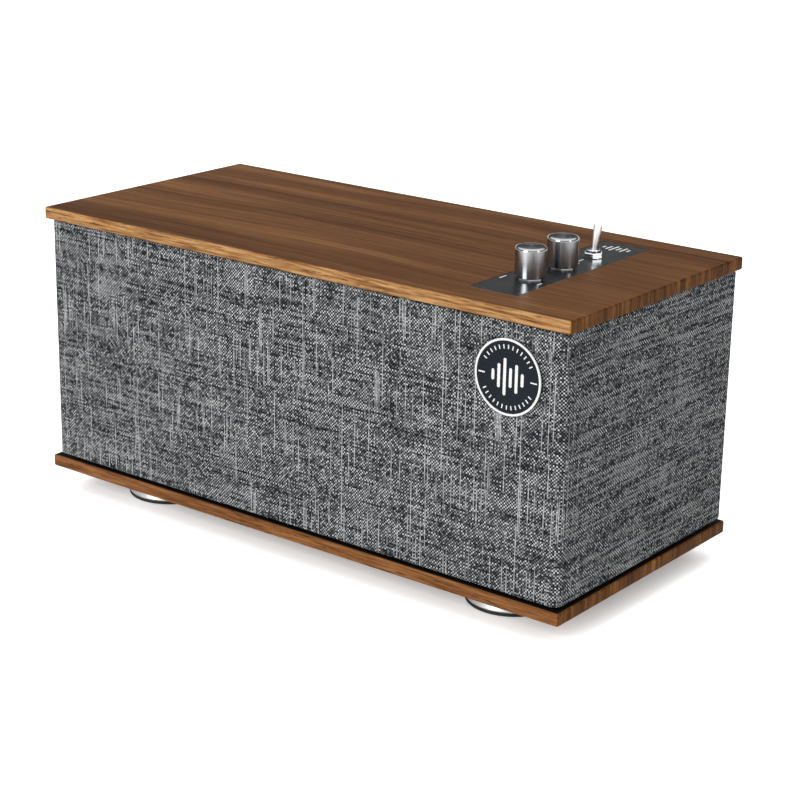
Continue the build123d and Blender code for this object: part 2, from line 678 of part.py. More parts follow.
export_step(toggle_body.part, "parts/toggle_body.step")

# The lever leans about a line parallel to X through its ball
lever_place = Plane(
    origin=(PLATE_X, TOGGLE_Y, LEVER_PIVOT_Z),
    x_dir=(1, 0, 0),
    z_dir=(0, math.sin(math.radians(LEVER_LEAN)), math.cos(math.radians(LEVER_LEAN))),
)
with BuildPart() as lever_at_origin:
    Sphere(BALL_RADIUS)
    add(turned([
        (0, -LEVER_TAIL + 0.3), (0.4, -LEVER_TAIL), (0.75, -LEVER_TAIL + 0.35), (0.9, -1.5), (1.1, 1.5),
        (1.15, 3.2), (2.25, LEVER_LENGTH - 0.35), (2.0, LEVER_LENGTH), (0, LEVER_LENGTH),
    ]))
    Cylinder(PIVOT_PIN_RADIUS + PIVOT_FIT, 4 * BALL_RADIUS, rotation=(0, 90, 0), mode=Mode.SUBTRACT)
with BuildPart() as toggle_lever:
    with Locations(lever_place):
        add(lever_at_origin.part)
toggle_lever.part.label = "toggle_lever"
export_step(toggle_lever.part, "parts/toggle_lever.step")

rocker_place = Plane(
    origin=(PLATE_X, TOGGLE_Y, ROCKER_Z),
    x_dir=(1, 0, 0),
    z_dir=(0, -math.sin(math.radians(ROCKER_LEAN)), math.cos(math.radians(ROCKER_LEAN))),
)
ROCKER_SIZE = (2.6, 8.6, 0.5)
BEAD_RADIUS = 0.5  # rounded bead across the rocker, which it rolls on
with BuildPart() as toggle_rocker:
    with Locations(rocker_place):
        Box(*ROCKER_SIZE)
        Cylinder(BEAD_RADIUS, ROCKER_SIZE[0], rotation=(0, 90, 0))
toggle_rocker.part.label = "toggle_rocker"
export_step(toggle_rocker.part, "parts/toggle_rocker.step")

LUG = (1.9, 0.7)
LUG_LOW = 139.4
LUG_TOPS = (144.9, ROCKER_Z - BEAD_RADIUS - 0.05, 144.9)  # front, centre and rear lug
with BuildPart() as toggle_terminals:
    for i, lug_top in enumerate(LUG_TOPS):
        with BuildSketch(Plane.XY.offset(LUG_LOW)):
            with Locations((PLATE_X, TOGGLE_Y + (i - 1) * 4.0)):
                Rectangle(*LUG)
        extrude(amount=lug_top - LUG_LOW)
toggle_terminals.part.label = "toggle_terminals"
export_step(toggle_terminals.part, "parts/toggle_terminals.step")

with BuildPart() as control_board:
    with BuildSketch(Plane.XY.offset(BOARD_Z - CIRCUIT_THICK)):
        with Locations((PLATE_X, 0)):
            RectangleRounded(32.0, 84.0, 1.5)
        with Locations(toggle_spot):
            with GridLocations(1, 4.0, 1, 3):
                Rectangle(2.1, 0.9, mode=Mode.SUBTRACT)
    extrude(amount=CIRCUIT_THICK)
    # Socket for the cable to the amplifier
    with BuildSketch(Plane.XY.offset(BOARD_Z - CIRCUIT_THICK)):
        with Locations((PLATE_X, CONTROL_PLUG_Y)):
            Rectangle(12.0, 6.0)
    extrude(amount=-CONTROL_PLUG_DEEP)
control_board.part.label = "control_board"
export_step(control_board.part, "parts/control_board.step")

# ==== speaker drivers =============================================================================
# Every driver is turned about its own axis, with height 0 at the face of its panel. The full-range
# drivers are the woofer at a smaller scale, apart from their flange.
RIM_RADIUS = 43.0
ROLL_MIDDLE = 45.9
ROLL_OUTER = 2.9
ROLL_INNER = 2.3
COIL_RADIUS = 12.4
GLUE = 0.03  # thickness of the glue between a motor's parts, and between the coil and its former
CAP_SPHERE = 24.3
CAP_THICK = 0.5
CAP_APEX = -10.3
CAP_HALF_ANGLE = 41.0
TERMINAL_Y = -42.5
TERMINAL_LEAD_Y = -44.2
TERMINAL_LOW = -25.5


def scaled(points, scale):
    return [(r * scale, h * scale) for r, h in points]


def basket(scale, flange, screw_circle):
    """Basket with six windows, a floor for the motor, a ledge for the spider and a terminal block."""
    with BuildPart() as frame:
        add(turned(scaled([
            (50, -3), (38, -30), (38, -37), (14.5, -37), (14.5, -34.5), (29, -34.5), (29, -29.5),
            (35.9, -29.5), (47.6, -3), (48.2, 0), (50, 0),
        ], scale)))
        add(ring(flange, 48.2 * scale + 0.6, -FLANGE_THICK, 0))
        with BuildSketch(Plane.XY.offset(-27 * scale)):
            with PolarLocations(44.5 * scale, 6):
                Rectangle(15 * scale, 26 * scale)
        extrude(amount=20 * scale, mode=Mode.SUBTRACT)
        with BuildSketch(Plane.XY.offset(TERMINAL_LOW * scale)):
            with Locations((0, TERMINAL_Y * scale)):
                Rectangle(8 * scale, 6.5 * scale)
        extrude(amount=5 * scale)
        with PolarLocations(screw_circle, 4, start_angle=45):
            Hole(radius=SCREW_RADIUS + 0.15)
    return frame.part


def motor(scale):
    """Front plate, ring magnet and back plate with its pole, as three solids."""
    with BuildPart() as parts:
        add(ring(30 * scale, 13.8 * scale, -42 * scale, -37 * scale))
        add(ring(36 * scale, 18 * scale, -54 * scale + GLUE, -42 * scale - GLUE))
        add(turned(scaled([
            (4, -59), (34, -59), (34, -54), (12, -54), (12, -36.5), (4, -36.5),
        ], scale)))
    return parts.part


def cone(scale):
    """Cone from the voice coil out to the surround, with a flat rim."""
    return turned(scaled([
        (12.72, -19.8), (41, -0.9), (RIM_RADIUS, -0.9), (RIM_RADIUS, 0), (40.6, 0), (12.72, -18.9),
    ], scale))


def dust_cap(scale):
    """Domed cap over the coil, a shell cut from two concentric spheres."""
    outer = CAP_SPHERE * scale
    inner = (CAP_SPHERE - CAP_THICK) * scale
    centre = (0, (CAP_APEX - CAP_SPHERE) * scale)
    with BuildPart() as cap:
        with BuildSketch(Plane.XZ):
            with BuildLine():
                outside = CenterArc(centre, outer, 90, -CAP_HALF_ANGLE)
                inside = CenterArc(centre, inner, 90, -CAP_HALF_ANGLE)
                Line(outside @ 1, inside @ 1)
                Line(inside @ 0, outside @ 0)
            make_face()
        revolve(axis=Axis.Z)
    return cap.part


def voice_coil(scale):
    """Coil former and its winding, as two solids."""
    with BuildPart() as coil:
        add(ring((COIL_RADIUS + 0.3) * scale, COIL_RADIUS * scale, -47 * scale, -17.5 * scale))
        add(ring(13.3 * scale, (COIL_RADIUS + 0.3) * scale + GLUE, -46 * scale, -34 * scale))
    return coil.part


def surround(scale):
    """Half-roll surround between the rim of the cone and the flange."""
    lip = 0.6 * scale
    foot = math.sqrt((ROLL_OUTER * scale) ** 2 - lip**2)
    middle = ROLL_MIDDLE * scale
    outer = ROLL_OUTER * scale
    inner = ROLL_INNER * scale
    with BuildPart() as roll:
        with BuildSketch(Plane.XZ):
            with BuildLine():
                Line((41.2 * scale, 0), (middle - inner, 0))
                ThreePointArc((middle - inner, 0), (middle, inner), (middle + inner, 0))
                Line((middle + inner, 0), (49.9 * scale, 0))
                Line((49.9 * scale, 0), (49.9 * scale, lip))
                Line((49.9 * scale, lip), (middle + foot, lip))
                ThreePointArc((middle + foot, lip), (middle, outer), (middle - foot, lip))
                Line((middle - foot, lip), (41.2 * scale, lip))
                Line((41.2 * scale, lip), (41.2 * scale, 0))
            make_face()
        revolve(axis=Axis.Z)
    return roll.part


def spider(scale):
    """Corrugated disc that centres the coil."""
    waves = [(r, -29.0 + 0.9 * math.sin((r - 28) * 1.3)) for r in range(14, 28)]
    lower = [(12.75, -29.3), *[(r, h - 0.25) for r, h in waves], (28.5, -29.4), (34.5, -29.4)]
    upper = [(34.5, -28.9), (28.5, -28.9), *[(r, h + 0.25) for r, h in reversed(waves)], (12.75, -28.8)]
    return turned(scaled(lower + upper, scale))


with BuildPart() as woofer_basket:
    with Locations(woofer_place):
        add(basket(WOOFER_SCALE, FLANGE_RADIUS, SCREW_CIRCLE))
woofer_basket.part.label = "woofer_basket"
export_step(woofer_basket.part, "parts/woofer_basket.step")

with BuildPart() as woofer_motor:
    with Locations(woofer_place):
        add(motor(WOOFER_SCALE))
woofer_motor.part.label = "woofer_motor"
export_step(woofer_motor.part, "parts/woofer_motor.step")

with BuildPart() as woofer_cone:
    with Locations(woofer_place):
        add(cone(WOOFER_SCALE))
woofer_cone.part.label = "woofer_cone"
export_step(woofer_cone.part, "parts/woofer_cone.step")

with BuildPart() as woofer_dust_cap:
    with Locations(woofer_place):
        add(dust_cap(WOOFER_SCALE))
woofer_dust_cap.part.label = "woofer_dust_cap"
export_step(woofer_dust_cap.part, "parts/woofer_dust_cap.step")

with BuildPart() as woofer_voice_coil:
    with Locations(woofer_place):
        add(voice_coil(WOOFER_SCALE))
woofer_voice_coil.part.label = "woofer_voice_coil"
export_step(woofer_voice_coil.part, "parts/woofer_voice_coil.step")

with BuildPart() as woofer_surround:
    with Locations(woofer_place):
        add(surround(WOOFER_SCALE))
woofer_surround.part.label = "woofer_surround"
export_step(woofer_surround.part, "parts/woofer_surround.step")

with BuildPart() as woofer_spider:
    with Locations(woofer_place):
        add(spider(WOOFER_SCALE))
woofer_spider.part.label = "woofer_spider"
export_step(woofer_spider.part, "parts/woofer_spider.step")

with BuildPart() as fullrange_baskets:
    with Locations(*fullrange_places.values()):
        add(basket(FULLRANGE_SCALE, FULLRANGE_FLANGE, FULLRANGE_SCREW_CIRCLE))
fullrange_baskets.part.label = "fullrange_baskets"
export_step(fullrange_baskets.part, "parts/fullrange_baskets.step")

with BuildPart() as fullrange_motors:
    with Locations(*fullrange_places.values()):
        add(motor(FULLRANGE_SCALE))
fullrange_motors.part.label = "fullrange_motors"
export_step(fullrange_motors.part, "parts/fullrange_motors.step")

for side, place in fullrange_places.items():
    # Cone, dust cap and voice coil are glued together and move as one
    with BuildPart() as fullrange_cone:
        with Locations(place):
            add(cone(FULLRANGE_SCALE))
            add(dust_cap(FULLRANGE_SCALE))
            add(voice_coil(FULLRANGE_SCALE))
    fullrange_cone.part.label = f"fullrange_{side}_cone"
    export_step(fullrange_cone.part, f"parts/fullrange_{side}_cone.step")

    with BuildPart() as fullrange_suspension:
        with Locations(place):
            add(surround(FULLRANGE_SCALE))
            add(spider(FULLRANGE_SCALE))
    fullrange_suspension.part.label = f"fullrange_{side}_suspension"
    export_step(fullrange_suspension.part, f"parts/fullrange_{side}_suspension.step")

# ==== passive radiators ===========================================================================
passive_inner = 48.2 * PASSIVE_SCALE
passive_wall = 50.0 * PASSIVE_SCALE
passive_frame_shape = turned([
    (passive_inner, -12), (passive_wall, -12), (passive_wall, -FLANGE_THICK), (PASSIVE_FLANGE, -FLANGE_THICK),
    (PASSIVE_FLANGE, 0), (passive_inner, 0),
])
with BuildPart() as passive_frames:
    with Locations(*passive_places.values()):
        add(passive_frame_shape)
        with PolarLocations(PASSIVE_SCREW_CIRCLE, 4, start_angle=45):
            Hole(radius=SCREW_RADIUS + 0.15, depth=FLANGE_THICK)
passive_frames.part.label = "passive_frames"
export_step(passive_frames.part, "parts/passive_frames.step")

diaphragm_shape = turned(scaled([
    (0, -9), (14, -9), (14, -3.4), (30, -3.4), (41, -0.9), (RIM_RADIUS, -0.9), (RIM_RADIUS, 0),
    (40.6, 0), (30, -2.4), (0, -2.4),
], PASSIVE_SCALE))
for side, place in passive_places.items():
    with BuildPart() as passive_diaphragm:
        with Locations(place):
            add(diaphragm_shape)
    passive_diaphragm.part.label = f"passive_{side}_diaphragm"
    export_step(passive_diaphragm.part, f"parts/passive_{side}_diaphragm.step")

    with BuildPart() as passive_surround:
        with Locations(place):
            add(surround(PASSIVE_SCALE))
    passive_surround.part.label = f"passive_{side}_surround"
    export_step(passive_surround.part, f"parts/passive_{side}_surround.step")

# ==== gaskets and screws ==========================================================================
def gasket(flange, inner, screw_circle):
    """Foam ring behind a driver's flange."""
    with BuildPart() as seal:
        add(ring(flange, inner, -FLANGE_THICK - GASKET_THICK, -FLANGE_THICK))
        with PolarLocations(screw_circle, 4, start_angle=45):
            Hole(radius=SCREW_RADIUS + 0.15)
    return seal.part


with BuildPart() as driver_gaskets:
    with Locations(woofer_place):
        add(gasket(FLANGE_RADIUS, CUTOUT_RADIUS, SCREW_CIRCLE))
    with Locations(*passive_places.values()):
        add(gasket(PASSIVE_FLANGE, CUTOUT_RADIUS * PASSIVE_SCALE, PASSIVE_SCREW_CIRCLE))
    with Locations(*fullrange_places.values()):
        add(gasket(FULLRANGE_FLANGE, CUTOUT_RADIUS * FULLRANGE_SCALE, FULLRANGE_SCREW_CIRCLE))
driver_gaskets.part.label = "driver_gaskets"
export_step(driver_gaskets.part, "parts/driver_gaskets.step")

CROSS_SLOT = (3.6, 0.8)
CROSS_DEEP = 1.1


def pan_screw(shank_radius, length, head_radius, head_thick):
    """Pan-head screw with a cross recess: underside of the head at height 0, shank downward."""
    with BuildPart() as screw:
        with BuildSketch(Plane.XY.offset(-length)):
            Circle(shank_radius)
        extrude(amount=length)
        chamfer(screw.edges().sort_by(Axis.Z)[0], length=shank_radius * 0.6)
        with BuildSketch():
            Circle(head_radius)
        extrude(amount=head_thick)
        fillet(screw.edges().sort_by(Axis.Z)[-1], radius=head_thick * 0.55)
        with BuildSketch(Plane.XY.offset(head_thick)):
            Rectangle(*CROSS_SLOT)
            Rectangle(*reversed(CROSS_SLOT))
        extrude(amount=-CROSS_DEEP, mode=Mode.SUBTRACT)
    return screw.part


wood_screw = pan_screw(SCREW_RADIUS, SCREW_LENGTH, SCREW_HEAD_RADIUS, SCREW_HEAD_THICK)
with BuildPart() as cabinet_screws:
    with Locations(woofer_place):
        with PolarLocations(SCREW_CIRCLE, 4, start_angle=45):
            add(wood_screw)
    with Locations(*passive_places.values()):
        with PolarLocations(PASSIVE_SCREW_CIRCLE, 4, start_angle=45):
            add(wood_screw)
    with Locations(*fullrange_places.values()):
        with PolarLocations(FULLRANGE_SCREW_CIRCLE, 4, start_angle=45):
            add(wood_screw)
    with Locations(*[rear_place(x, z) for x in (-rear_screw_x, rear_screw_x) for z in rear_screw_z]):
        add(wood_screw)
cabinet_screws.part.label = "cabinet_screws"
export_step(cabinet_screws.part, "parts/cabinet_screws.step")

# ==== amplifier ===================================================================================
amp_middle = ((AMP_X[0] + AMP_X[1]) / 2, (AMP_Z[0] + AMP_Z[1]) / 2)
with BuildPart() as amplifier_board:
    with BuildSketch(Plane.XZ.offset(-amp_back)):
        with Locations(amp_middle):
            RectangleRounded(AMP_X[1] - AMP_X[0], AMP_Z[1] - AMP_Z[0], 2.0)
        with Locations(*amp_boss_spots):
            Circle(1.6, mode=Mode.SUBTRACT)
    extrude(amount=CIRCUIT_THICK)
    # Sockets for the three driver leads and the control cable
    with BuildSketch(Plane.XZ.offset(-AMP_Y)):
        with Locations((-CONNECTOR_X, CONNECTOR_Z), (0, CONNECTOR_Z), (CONNECTOR_X, CONNECTOR_Z), AMP_PLUG):
            Rectangle(8.0, 5.5)
    extrude(amount=CONNECTOR_DEEP)
amplifier_board.part.label = "amplifier_board"
export_step(amplifier_board.part, "parts/amplifier_board.step")

SINK = (40.0, 34.0)
SINK_BASE = 2.5
FIN_COUNT = 8
FIN_THICK = 1.5
FIN_LENGTH = 13.0
sink_middle = (34.0, 68.0)
with BuildPart() as amplifier_heat_sink:
    with BuildSketch(Plane.XZ.offset(-AMP_Y)):
        with Locations(sink_middle):
            Rectangle(*SINK)
    extrude(amount=SINK_BASE)
    with BuildSketch(Plane.XZ.offset(-AMP_Y + SINK_BASE)):
        with Locations(sink_middle):
            with GridLocations((SINK[0] - FIN_THICK) / (FIN_COUNT - 1), 1, FIN_COUNT, 1):
                Rectangle(FIN_THICK, SINK[1])
    extrude(amount=FIN_LENGTH)
amplifier_heat_sink.part.label = "amplifier_heat_sink"
export_step(amplifier_heat_sink.part, "parts/amplifier_heat_sink.step")

CAPACITOR_RADIUS = 7.5
CAPACITOR_LENGTH = 25.0
with BuildPart() as amplifier_capacitors:
    for x in (-26.0, -8.5):
        with BuildSketch(Plane.XZ.offset(-AMP_Y)):
            with Locations((x, 72.0)):
                Circle(CAPACITOR_RADIUS)
        extrude(amount=CAPACITOR_LENGTH)
    fillet(amplifier_capacitors.faces().group_by(Axis.Y)[0].edges(), radius=1.0)
amplifier_capacitors.part.label = "amplifier_capacitors"
export_step(amplifier_capacitors.part, "parts/amplifier_capacitors.step")

SOCKET_PROUD = -0.6  # the sockets' noses stop this far above the dish, below the panel's outer face
socket_nose = REAR_Y + REAR_THICK + SOCKET_PROUD


def socket(x, body_size, nose_radius):
    """Body of a rear socket: a block on the amplifier board with a round nose through the panel."""
    with BuildPart() as shell:
        with BuildSketch(Plane.XZ.offset(-amp_back)):
            with Locations((x, SOCKET_Z)):
                Rectangle(*body_size)
        extrude(amount=amp_back - REAR_Y)
        with BuildSketch(Plane.XZ.offset(-REAR_Y)):
            with Locations((x, SOCKET_Z)):
                Circle(nose_radius)
        extrude(amount=REAR_Y - socket_nose)
    return shell.part


with BuildPart() as power_inlet:
    add(socket(POWER_X, (10.0, 11.0), 4.6))
    with Locations(rear_place(POWER_X, SOCKET_Z, socket_nose)):
        Hole(radius=2.8, depth=10.0)
    with BuildSketch(rear_place(POWER_X, SOCKET_Z, socket_nose - 10.0)):
        Circle(1.0)
    extrude(amount=9.0)
power_inlet.part.label = "power_inlet"
export_step(power_inlet.part, "parts/power_inlet.step")

with BuildPart() as aux_jack:
    add(socket(AUX_X, (9.0, 9.0), 3.9))
    with Locations(rear_place(AUX_X, SOCKET_Z, socket_nose)):
        Hole(radius=AUX_BORE, depth=15.0)
aux_jack.part.label = "aux_jack"
export_step(aux_jack.part, "parts/aux_jack.step")

machine_screw = pan_screw(1.25, 9.5, 2.7, 1.8)
with BuildPart() as board_screws:
    with Locations(*[front_place(x, z, AMP_Y) for x, z in amp_boss_spots]):
        add(machine_screw)
board_screws.part.label = "board_screws"
export_step(board_screws.part, "parts/board_screws.step")

# ==== leads inside the cabinet ====================================================================
def bend_radii(points):
    """The largest even bend at each corner: 0.45 of the shorter run over the tangent of half the turn."""
    radii = []
    for before, corner, after in zip(points, points[1:], points[2:]):
        arriving = Vector(*corner) - Vector(*before)
        leaving = Vector(*after) - Vector(*corner)
        turn = math.radians(arriving.get_angle(leaving))
        radii.append(0.45 * min(arriving.length, leaving.length) / math.tan(turn / 2))
    return radii


def tube(points, radius):
    """A round lead along straight runs joined by tangent arcs."""
    radii = bend_radii(points)
    with BuildPart() as lead:
        with BuildLine() as path:
            FilletPolyline(*points, radius=radii)
        start = Vector(*points[0])
        with BuildSketch(Plane(origin=start, z_dir=Vector(*points[1]) - start)):
            Circle(radius)
        sweep(path=path.line)
    length = sum(edge.length for edge in path.edges())
    print("lead", round(length, 1), "volume ratio", round(lead.part.volume / (math.pi * radius**2 * length), 4),
          "bends", [round(r, 1) for r in radii])
    return lead.part


def terminal(place_x, scale):
    """Where a lead meets the terminal block of a front driver."""
    return (place_x, BAFFLE_Y - TERMINAL_LOW * scale, MID_Z + TERMINAL_LEAD_Y * scale)


plug_face = AMP_Y - CONNECTOR_DEEP
woofer_end = terminal(0, WOOFER_SCALE)
woofer_route = [
    (0, plug_face, CONNECTOR_Z), (0, plug_face - 16, CONNECTOR_Z), (0, 10, 28), (0, -14, woofer_end[2]), woofer_end,
]


def fullrange_route(sign):
    """From the amplifier, under the woofer's motor, to a full-range driver's terminals."""
    end = terminal(sign * FULLRANGE_X, FULLRANGE_SCALE)
    return [
        (sign * CONNECTOR_X, plug_face, CONNECTOR_Z), (sign * CONNECTOR_X, plug_face - 14, CONNECTOR_Z),
        (sign * 56, 12, 28), (sign * 88, -10, 36), (end[0], end[1] + 15, end[2]), end,
    ]


with BuildPart() as driver_leads:
    add(tube(woofer_route, LEAD_RADIUS))
    for sign in (-1, 1):
        add(tube(fullrange_route(sign), LEAD_RADIUS))
driver_leads.part.label = "driver_leads"
export_step(driver_leads.part, "parts/driver_leads.step")

control_plug_face = BOARD_Z - CIRCUIT_THICK - CONTROL_PLUG_DEEP
cable_route = [
    (PLATE_X, CONTROL_PLUG_Y, control_plug_face), (PLATE_X, CONTROL_PLUG_Y, 122), (90, 33, 108), (52, 30, 103),
    (18, 29, 97), (AMP_PLUG[0], 31, AMP_PLUG[1]), (AMP_PLUG[0], plug_face, AMP_PLUG[1]),
]
with BuildPart() as control_cable:
    add(tube(cable_route, CABLE_RADIUS))
control_cable.part.label = "control_cable"
export_step(control_cable.part, "parts/control_cable.step")

# ==== feet ========================================================================================
foot_shape = turned([
    (2.3, 6.0), (5.5, 6.0), (5.5, PAD_THICK), (PAD_RADIUS - 0.5, PAD_THICK), (PAD_RADIUS - 0.3, 2.2),
    (PAD_RADIUS - 0.8, 4.0), (PAD_RADIUS - 1.6, FOOT_HEIGHT), (2.3, FOOT_HEIGHT),
])
with BuildPart() as foot_bodies:
    with Locations(*foot_spots):
        add(foot_shape)
foot_bodies.part.label = "foot_bodies"
export_step(foot_bodies.part, "parts/foot_bodies.step")

pad_shape = turned([
    (8, 0), (PAD_RADIUS - 0.4, 0), (PAD_RADIUS, 0.4), (PAD_RADIUS, PAD_THICK - 0.3), (PAD_RADIUS - 0.3, PAD_THICK),
    (8, PAD_THICK),
])
with BuildPart() as foot_pads:
    with Locations(*foot_spots):
        add(pad_shape)
foot_pads.part.label = "foot_pads"
export_step(foot_pads.part, "parts/foot_pads.step")

foot_screw_shape = pan_screw(2.0, 11.0, 4.2, 2.4)
with BuildPart() as foot_screws:
    with Locations(*[Plane(origin=(x, y, 6.0), x_dir=(1, 0, 0), z_dir=(0, 0, -1)) for x, y in foot_spots]):
        add(foot_screw_shape)
foot_screws.part.label = "foot_screws"
export_step(foot_screws.part, "parts/foot_screws.step")
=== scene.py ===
"""Looks of a tabletop wireless speaker: walnut boards above and below a wrap-round heather cloth grille,
turned metal knobs and a toggle on a dark metal strip, a round badge and four round feet.

Metres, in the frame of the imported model: +Z up, the front (badge side) faces -Y, the controls are at +X.
"""

import json
import math

import bpy
import mathutils
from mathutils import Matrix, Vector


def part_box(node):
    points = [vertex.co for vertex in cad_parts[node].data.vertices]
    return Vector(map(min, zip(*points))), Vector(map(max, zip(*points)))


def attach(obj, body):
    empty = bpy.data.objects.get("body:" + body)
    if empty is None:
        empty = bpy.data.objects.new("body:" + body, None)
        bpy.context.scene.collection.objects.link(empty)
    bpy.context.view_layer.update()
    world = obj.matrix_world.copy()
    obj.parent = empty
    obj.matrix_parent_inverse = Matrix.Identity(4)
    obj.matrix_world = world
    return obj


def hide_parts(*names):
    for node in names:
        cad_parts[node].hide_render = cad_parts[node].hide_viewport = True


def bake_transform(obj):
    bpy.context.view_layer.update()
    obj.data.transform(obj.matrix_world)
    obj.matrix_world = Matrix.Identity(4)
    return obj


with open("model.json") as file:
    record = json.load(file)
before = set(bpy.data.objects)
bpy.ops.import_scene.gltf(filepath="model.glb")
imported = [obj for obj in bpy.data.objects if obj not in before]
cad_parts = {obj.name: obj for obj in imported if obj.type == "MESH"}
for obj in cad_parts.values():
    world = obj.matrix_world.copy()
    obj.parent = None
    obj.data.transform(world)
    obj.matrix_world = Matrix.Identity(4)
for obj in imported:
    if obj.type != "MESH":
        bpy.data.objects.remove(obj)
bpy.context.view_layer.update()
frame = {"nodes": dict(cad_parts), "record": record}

nodes = frame["nodes"]
scene = bpy.context.scene
scene.view_settings.view_transform = "Standard"

# ==== camera ======================================================================================
CAMERA_PLACE = (0.60696, -0.77109, 0.38863)
CAMERA_ROUND = math.radians(37.57)  # from straight in front, towards the controls
CAMERA_DOWN = math.radians(18.23)
CAMERA_ROLL = math.radians(1.05)
SENSOR_WIDTH = 36.0  # mm
CAMERA_LENS = 91.76  # mm

back = mathutils.Vector((
    math.sin(CAMERA_ROUND) * math.cos(CAMERA_DOWN),
    -math.cos(CAMERA_ROUND) * math.cos(CAMERA_DOWN),
    math.sin(CAMERA_DOWN),
))
camera_data = bpy.data.cameras.new("camera")
camera_data.sensor_width = SENSOR_WIDTH
camera_data.lens = CAMERA_LENS
camera = bpy.data.objects.new("camera", camera_data)
scene.collection.objects.link(camera)
camera.location = CAMERA_PLACE
camera.rotation_mode = "QUATERNION"
level = (-back).to_track_quat("-Z", "Y")
camera.rotation_quaternion = level @ mathutils.Quaternion((0, 0, 1), CAMERA_ROLL)
scene.camera = camera


# ==== materials ===================================================================================
class Finish:
    """A material on one Principled shader, with short calls that add and wire its nodes."""

    def __init__(self, name, sockets):
        self.material = bpy.data.materials.new(name)
        self.material.use_nodes = True
        self.tree = self.material.node_tree
        self.shader = self.tree.nodes["Principled BSDF"]
        for socket, value in sockets.items():
            self.shader.inputs[socket].default_value = value

    def add(self, kind, inputs, output=0, **settings):
        made = self.tree.nodes.new("ShaderNode" + kind)
        for key, value in settings.items():
            setattr(made, key, value)
        for key, value in inputs.items():
            if isinstance(value, bpy.types.NodeSocket):
                self.tree.links.new(value, made.inputs[key])
            else:
                made.inputs[key].default_value = value
        return made.outputs[output]

    def drive(self, socket, value):
        self.tree.links.new(value, self.shader.inputs[socket])

    def place(self):
        return self.add("TexCoord", {}, "Object")

    def maths(self, operation, *values):
        return self.add("Math", dict(enumerate(values)), operation=operation)

    def vector_maths(self, operation, *values):
        return self.add("VectorMath", dict(enumerate(values)), operation=operation)

    def stretched(self, vector, scale):
        return self.vector_maths("MULTIPLY", vector, scale)

    def split(self, vector):
        apart = self.tree.nodes.new("ShaderNodeSeparateXYZ")
        self.tree.links.new(vector, apart.inputs[0])
        return apart.outputs

    def joined(self, x, y, z=0.0):
        return self.add("CombineXYZ", {0: x, 1: y, 2: z})

    def noise(self, vector, scale=1.0, detail=3.0, roughness=0.5, distortion=0.0):
        inputs = {
            "Vector": vector,
            "Scale": scale,
            "Detail": detail,
            "Roughness": roughness,
            "Distortion": distortion,
        }
        return self.add("TexNoise", inputs, "Fac")

    def spread(self, value, low, high, to_low=0.0, to_high=1.0, smooth=False):
        inputs = {"Value": value, 1: low, 2: high, 3: to_low, 4: to_high}
        kind = "SMOOTHSTEP" if smooth else "LINEAR"
        return self.add("MapRange", inputs, interpolation_type=kind)

    def ramp(self, value, stops):
        made = self.tree.nodes.new("ShaderNodeValToRGB")
        self.tree.links.new(value, made.inputs[0])
        points = made.color_ramp.elements
        while len(points) < len(stops):
            points.new(0.5)
        for point, (position, colour) in zip(points, stops, strict=True):
            point.position = position
            point.color = (*colour, 1.0)
        return made.outputs[0]

    def mix(self, share, first, second, blend="MIX"):
        made = self.tree.nodes.new("ShaderNodeMix")
        made.data_type = "RGBA"
        made.blend_type = blend
        for index, value in ((0, share), (6, first), (7, second)):
            if isinstance(value, bpy.types.NodeSocket):
                self.tree.links.new(value, made.inputs[index])
            elif index == 0:
                made.inputs[index].default_value = value
            else:
                made.inputs[index].default_value = (*value, 1.0)
        return made.outputs[2]

    def shaded(self, colour, red, green, blue):
        return self.mix(1.0, colour, self.joined(red, green, blue), "MULTIPLY")

    def bump(self, height, distance, strength=1.0):
        inputs = {"Height": height, "Distance": distance, "Strength": strength}
        self.drive("Normal", self.add("Bump", inputs))


# Where the boards' colours change, in metres; their front faces are at y -0.0743, their ends at x +-0.161
STRIP_FROM, STRIP_TO = -0.0741, -0.0735
END_FROM, END_TO = 0.1600, 0.1606
BETWEEN_BOARDS = 0.1
# Where the painted shade in the gap below the cloth begins and ends
SHADE_GAP_FRONT = -0.0734
SHADE_GAP_END = 0.1601
SHADE_GAP_FROM, SHADE_GAP_TO = 0.0182, 0.0185


